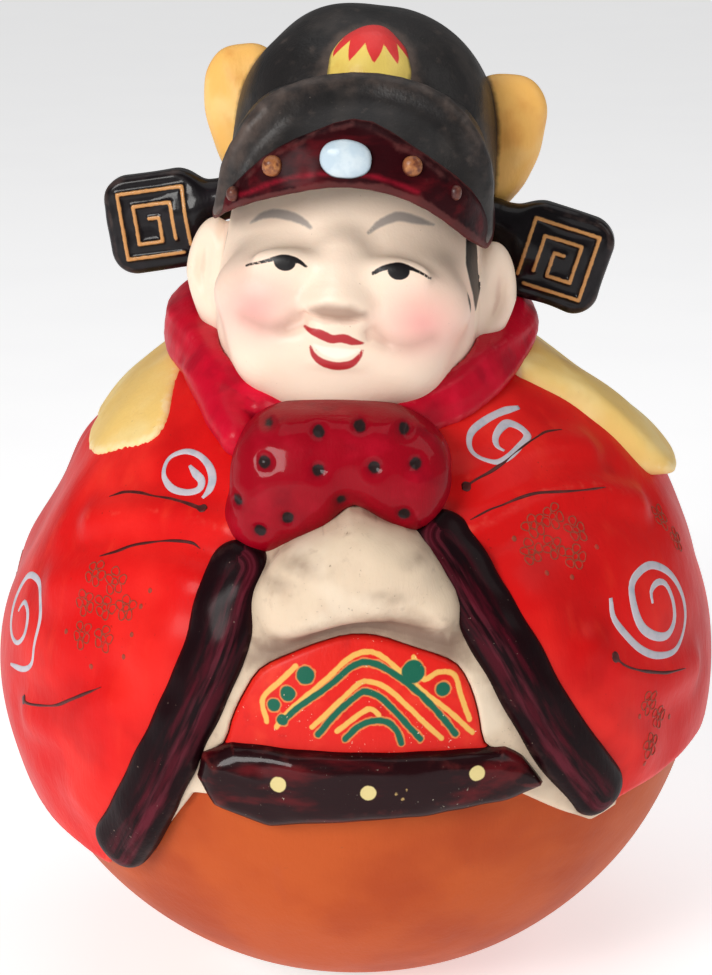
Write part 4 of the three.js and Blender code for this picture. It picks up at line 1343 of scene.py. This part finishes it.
def hat_band(q):
    face = band_face(q) - 0.15 * waves(q, 6, 23)
    wrap = meet(face, -(face + BAND_THICKNESS + 0.8), 0.4)
    wrap = meet(wrap, outline(q, BAND_SHAPE), 1.1)
    return meet(wrap, q[:, 1] - BAND_BACK, 0.8)


CREST = dict(radii=(8.7, 8, 9.8), centre=(0.6, -5, 45))
FLAME_FOOT, FLAME_HEIGHT, FLAME_TEETH = 49.2, 3.2, 5.2


def crest(q):
    x, _, z = CREST["centre"]
    slim = 1 + 0.24 * np.clip((q[:, 2] - z) / 10, 0, 1)
    dome = rounded(np.stack([x + (q[:, 0] - x) * slim, q[:, 1], q[:, 2]], 1), **CREST)
    return dome + 0.15 * waves(q, 5, 24)


def flame(q):
    """Above a zigzag edge near the crest's top."""
    x, y, _ = CREST["centre"]
    turn = np.arctan2(q[:, 0] - x, -(q[:, 1] - y))
    tooth = np.abs((turn * FLAME_TEETH / math.pi + 0.25) % 1 - 0.5) * 2
    return FLAME_FOOT + FLAME_HEIGHT * tooth - q[:, 2]


def wing_local(q, side):
    """Coordinates in the wing plate's own axes, from its middle."""
    p = q - (WING_X * side + WING_SHIFT, WING_Y, WING_Z)
    c, s = math.cos(WING_TILT * side), math.sin(WING_TILT * side)
    return np.stack([c * p[:, 0] - s * p[:, 2], p[:, 1], s * p[:, 0] + c * p[:, 2]], 1)


FRET = [
    [(-5.9, -4.6), (-5.9, 5.9), (5.9, 5.9), (5.9, -5.9), (-4.4, -5.9)],
    [(-3.4, -3.2), (-3.4, 3.4), (3.4, 3.4), (3.4, -3.4), (-0.9, -3.4), (-0.9, 0.9), (0.9, 0.9)]]
FRET_LINES = [np.array([(x, 0, z) for x, z in route], float) for route in FRET]


def fret_away(p, side):
    """Distance from the raised key pattern on the plate's front and back."""
    flat = p * (side, 0, 1)
    return np.min([along(flat, line)[0] for line in FRET_LINES], axis=0)


def wing_gold(q, side):
    p = wing_local(q, side)
    return np.where(np.abs(p[:, 1]) > 1.6, fret_away(p, side), 9)


def wing(q, side):
    p = wing_local(q, side)
    straight = WING_SIZE / 2 - WING_CORNER
    flat = np.abs(p) - np.array([straight, WING_THICKNESS / 2 - WING_ROUNDING, straight])
    plan = length(np.maximum(flat[:, [0, 2]], 0)) + np.minimum(np.maximum(flat[:, 0], flat[:, 2]), 0)
    plan = plan - WING_CORNER + WING_ROUNDING
    both = np.stack([plan, flat[:, 1]], 1)
    plate = length(np.maximum(both, 0)) + np.minimum(np.maximum(plan, flat[:, 1]), 0) - WING_ROUNDING
    lines = np.where(np.abs(p[:, 1]) > 1, fret_away(p, side), 9)
    plate = plate - FRET_RISE * np.exp(-(lines / FRET_WIDTH) ** 2) - 0.15 * waves(q, 7, 25)
    neck = smooth_line([(WING_X * side + WING_SHIFT - 6 * side, WING_Y, WING_Z + 2),
                        (WING_X * side - 12 * side, WING_Y, WING_Z + WING_NECK_RISE),
                        (WING_X * side - 18 * side, WING_Y, WING_Z + WING_NECK_RISE + 0.5)], 8)
    return join(plate, tube(q, neck, WING_NECK_RADIUS + 0.6), 4)


LOBE_AT = {1: np.array([23, 17, 33.2]), -1: np.array([-22.4, 17, 34.5])}
LOBE_RADII, LOBE_LEAN, LOBE_ROOM = (7.2, 4.6, 13), math.radians(5), (13, 8, 17)


def lobe(q, side):
    """A long lobe, broader towards its top."""
    x, y, z = (q - LOBE_AT[side]).T
    c, s = math.cos(LOBE_LEAN * side), math.sin(LOBE_LEAN * side)
    across, up = c * x - s * z, s * x + c * z
    t = np.clip(up / LOBE_RADII[2], -1, 1)
    broad = 1 + 0.3 * t - 0.28 * np.maximum(-t, 0) ** 3
    return rounded(np.stack([across / broad, y, up], 1), LOBE_RADII, (0, 0, 0),
                   2.25) * 0.85 + 0.25 * waves(q, 8, 26)


# How far a bead is from its CAD node, across and up, and the share of its depth that is in the band.
BEAD_SHIFT = {"hat_stud_inner_left": (-1.1, 2.0), "hat_stud_outer_left": (-0.9, 3.4)}
BEAD_SUNK = 0.3


def ornament(name, grow):
    """A bead as big as its CAD node, sunk a little into the band."""
    low, high = (np.array(v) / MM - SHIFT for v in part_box(name))
    half = (high - low) / 2 + grow
    centre = to_head((low + high) / 2)[None]
    depth = band_face(centre)[0]
    across, up = BEAD_SHIFT.get(name, (0, 0))
    centre = settle(centre + (across, 0, up), lambda q: band_face(q) - depth, 4, 3.0)[0]
    return centre + (0, BEAD_SUNK * half[1], 0), half


# ---------- building it all ----------

def build_body():
    red, trim = robe_paint(), trim_paint()
    moulded("tumbler_body", body, (-66, -64, -3), (66, 64, 123), 1.15, body_paint(), "body_orange",
            ["body_shell"])
    moulded("court_robe", robe, (-69, -67, 28), (69, 67, 125), 1.05, red, "robe_red",
            ["sleeve_left", "sleeve_right", "robe_back"])
    for side in ("left", "right"):
        line = CUFF_LINES[side]
        painted = {"inward": partial(cuff_inward, side=side), "run": partial(cuff_run, side=side)}
        moulded("sleeve_cuff_" + side, partial(cuff, side=side), line.min(0) - 9, line.max(0) + 9, 0.55,
                trim, "trim_maroon", ["cuff_" + side], None, painted)
    painted = {"dots": partial(spots, centres=HEM_DOTS), "specks": partial(spots, centres=HEM_SPECKS)}
    moulded("apron_border", hem, (-32, -70, 42), (36, -42, 66), 0.45, hem_paint(), "trim_maroon",
            ["apron_hem"], None, painted)
    moulded("apron_front", apron, (-25, -68, 52), (25, -44, 82), 0.27, apron_paint(), "robe_red",
            ["apron_panel"], None, {"yellow": painted_lines(WAVES_YELLOW), "green": green_marks})
    moulded("white_sleeves", white_sleeves, (-46, -70, 28), (46, -34, 101), 0.5, white_paint(),
            "hands_white", ["clasped_hands", "under_sleeve_left", "under_sleeve_right"], None,
            {"grime": grime})


def build_neck():
    moulded("dotted_neck_bow", bow, (-26, -63, 84), (22, -34, 121), 0.42, bow_paint(), "scarf_crimson",
            ["dotted_bow"], None, {"dots": dots_away})
    moulded("neck_collar", scarf, (-40, -48, 96), (40, 36, 134), 0.7, scarf_paint(), "scarf_crimson",
            ["neck_scarf"])
    moulded("shoulder_cape", mantle, (-74, -50, 84), (76, 72, 130), 0.9, mantle_paint(), "mantle_yellow",
            ["shoulder_mantle"])


def build_brushwork():
    pale = stroke_paint("spiral_pale_paint", (196, 190, 198), (166, 174, 186))
    brown = stroke_paint("brush_brown_paint", (70, 14, 12), (104, 28, 20))
    olive = stroke_paint("flower_olive_paint", (150, 60, 38), (188, 44, 34), 0.5)
    spirals = [brush(route, width, 0.5, 0.5, 0, 90, 0.22, i) for i, (route, width) in enumerate(SPIRALS)]
    lines = [brush(route, width, 0.2, 0.4, blob, 60, 0.25, i)
             for i, (route, width, blob) in enumerate(BRUSH_LINES)]
    flowers = [ring for i, (b, l) in enumerate(FLOWERS) for ring in flower(b, l, 1.7 * i)]
    dots = [dot(b, l, FLOWER_DOT_RADIUS) for b, l in FLOWER_DOTS]
    marks("robe_spirals", spirals, pale, "hands_white")
    marks("robe_brush_lines", lines, brown, "trim_maroon")
    marks("robe_flowers", flowers + dots, olive, "stud_gold")


BEAD_GROW = {"inner": 0.0, "outer": -0.35}  # beside the CAD's beads, in millimetres


def build_head():
    black, gem = hat_paint(), gem_paint()
    studs = {"inner": stud_paint("stud_gold_paint", (150, 92, 54), (190, 128, 74), (84, 38, 30)),
             "outer": stud_paint("stud_dark_paint", (96, 52, 42), (128, 78, 54), (58, 20, 22))}
    face = {"brow": BROWS, "black": black_marks, "lips": LIPS, "teeth": TEETH, "shade": SMILE_SHADES,
            "under": NOSE_SHADE, "blush": blush}
    moulded("doll_head", head, (-31, -40, -22), (31, 25, 43), 0.4, face_paint(), "skin_cream", ["head"],
            from_head, face)
    moulded("hat_visor", hat_front, (-26, -40, 12), (27, 18, 52), 0.5, black, "hat_black", ["hat_front"],
            from_head, {"ridge": ridge_away})
    moulded("hat_dome", hat_crown, (-28, -18, 4), (29, 38, 61), 0.6, black, "hat_black", ["hat_crown"],
            from_head, {"ridge": lambda q: crest(q) - 1.0})
    moulded("hat_headband", hat_band, (-27, -41, 10), (28, 2, 48), 0.42, band_paint(), "trim_maroon",
            ["hat_band"], from_head, {"gleam": lambda q: along(q * (1, 0, 1), BAND_GLEAM)[0]})
    painted = {"blaze": flame, "rim": lambda q: np.minimum(hat_crown(q), hat_front(q))}
    moulded("hat_flame_crest", crest, (-11, -15, 33), (12, 6, 58), 0.35, crest_paint(), "mantle_yellow",
            ["hat_crest"], from_head, painted)
    for side, name in ((1, "left"), (-1, "right")):
        x = WING_X * side + WING_SHIFT
        low, high = (min(x - 13, x - 13 - 8 * side), 3, 1), (max(x + 13, x + 13 - 8 * side), 21, 31)
        moulded("hat_fret_wing_" + name, partial(wing, side=side), low, high, 0.3, WING_PAINT,
                "wing_black", ["hat_wing_" + name], from_head, {"gold": partial(wing_gold, side=side)})
        low, high = LOBE_AT[side] - LOBE_ROOM, LOBE_AT[side] + LOBE_ROOM
        moulded("hat_back_lobe_" + name, partial(lobe, side=side), low, high, 0.4, LOBE_PAINT,
                "lobe_yellow", ["hat_lobe_" + name], from_head, {"rim": hat_crown})
        for where in ("inner", "outer"):
            bead(f"hat_bead_{where}_{name}", f"hat_stud_{where}_{name}", studs[where], "stud_gold",
                 BEAD_GROW[where], 2.2)
    bead("hat_oval_gem", "hat_gem", gem, "gem_blue", -0.1, 2.3)


def bead(name, node, material, slot, grow, fullness):
    centre, half = ornament(node, grow)

    def field(q):
        return rounded(q, half, centre, fullness) + 0.06 * waves(q, 3, 31)
    moulded(name, field, centre - half - 1, centre + half + 1, 0.22, material, slot, [node], from_head,
            {"rim": band_face})


def dress_cad_nodes():
    """The ballast and the plug stay as the CAD has them."""
    finishes = {"ballast": plain_fill("plaster_fill", (186, 180, 168), (150, 142, 130), 1.2),
                "filler_plug": plain_fill("plug_cork_grain", (172, 134, 92), (112, 78, 48), 0.9)}
    for node, material in finishes.items():
        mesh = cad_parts[node].data
        mesh.materials.clear()
        mesh.materials.append(material)


# ---------- stage, light and camera ----------

# Square lights: the place, the side in metres, the power and the colour.
LIGHTS = {
    "key": ((-0.46, -0.72, 0.46), 0.34, 5.6, (1, 0.985, 0.96)),
    "fill": ((0.75, -0.2, 0.7), 0.5, 1.3, (1, 0.98, 0.95)),
    "top": ((0, 0.1, 1.0), 0.8, 2.0, (1, 1, 1))}
LIGHT_AIM = (0, 0, 0.09)
CAMERA_AT, CAMERA_AIM, CAMERA_LENS = (0, -0.5023, 0.2226), (0, 0, 0.088), 105.8
FLOOR_GLOW, WORLD_GLOW = 0.56, 0.2


def aimed(name, data, where, aim):
    """A light or a camera, pointed at a place."""
    made = bpy.data.objects.new(name, data)
    made.location = where
    made.rotation_euler = (Vector(aim) - made.location).to_track_quat("-Z", "Y").to_euler()
    bpy.context.scene.collection.objects.link(made)
    return made


def build_stage():
    scene = bpy.context.scene
    bpy.ops.mesh.primitive_plane_add(size=12, location=(0, 0, 0))
    floor = bpy.context.object
    floor.name = "studio_floor"
    p = Paint("floor_white", (236, 236, 238), 0.9, specular=0.1)
    p.shader.inputs["Emission Color"].default_value = (1, 1, 1, 1)
    p.shader.inputs["Emission Strength"].default_value = FLOOR_GLOW
    floor.data.materials.append(p.mottle((230, 230, 233), 60, 0.4, 0.7, 0.5).gloss(0.03, 30).done())
    world = bpy.data.worlds.new("studio")
    world.use_nodes = True
    background = world.node_tree.nodes["Background"]
    background.inputs["Color"].default_value = (1, 1, 1, 1)
    background.inputs["Strength"].default_value = WORLD_GLOW
    scene.world = world
    scene.view_settings.view_transform = "Standard"
    for name, (where, size, power, colour) in LIGHTS.items():
        light = bpy.data.lights.new(name, "AREA")
        light.shape, light.size = "SQUARE", size
        light.energy, light.color = power, colour
        aimed(name, light, where, LIGHT_AIM)
    camera = bpy.data.cameras.new("camera")
    camera.lens, camera.clip_start = CAMERA_LENS, 0.01
    scene.camera = aimed("camera", camera, CAMERA_AT, CAMERA_AIM)


WING_PAINT, LOBE_PAINT = wing_paint(), lobe_paint()
build_body()
build_neck()
build_brushwork()
build_head()
make_moulded()
dress_cad_nodes()
build_stage()
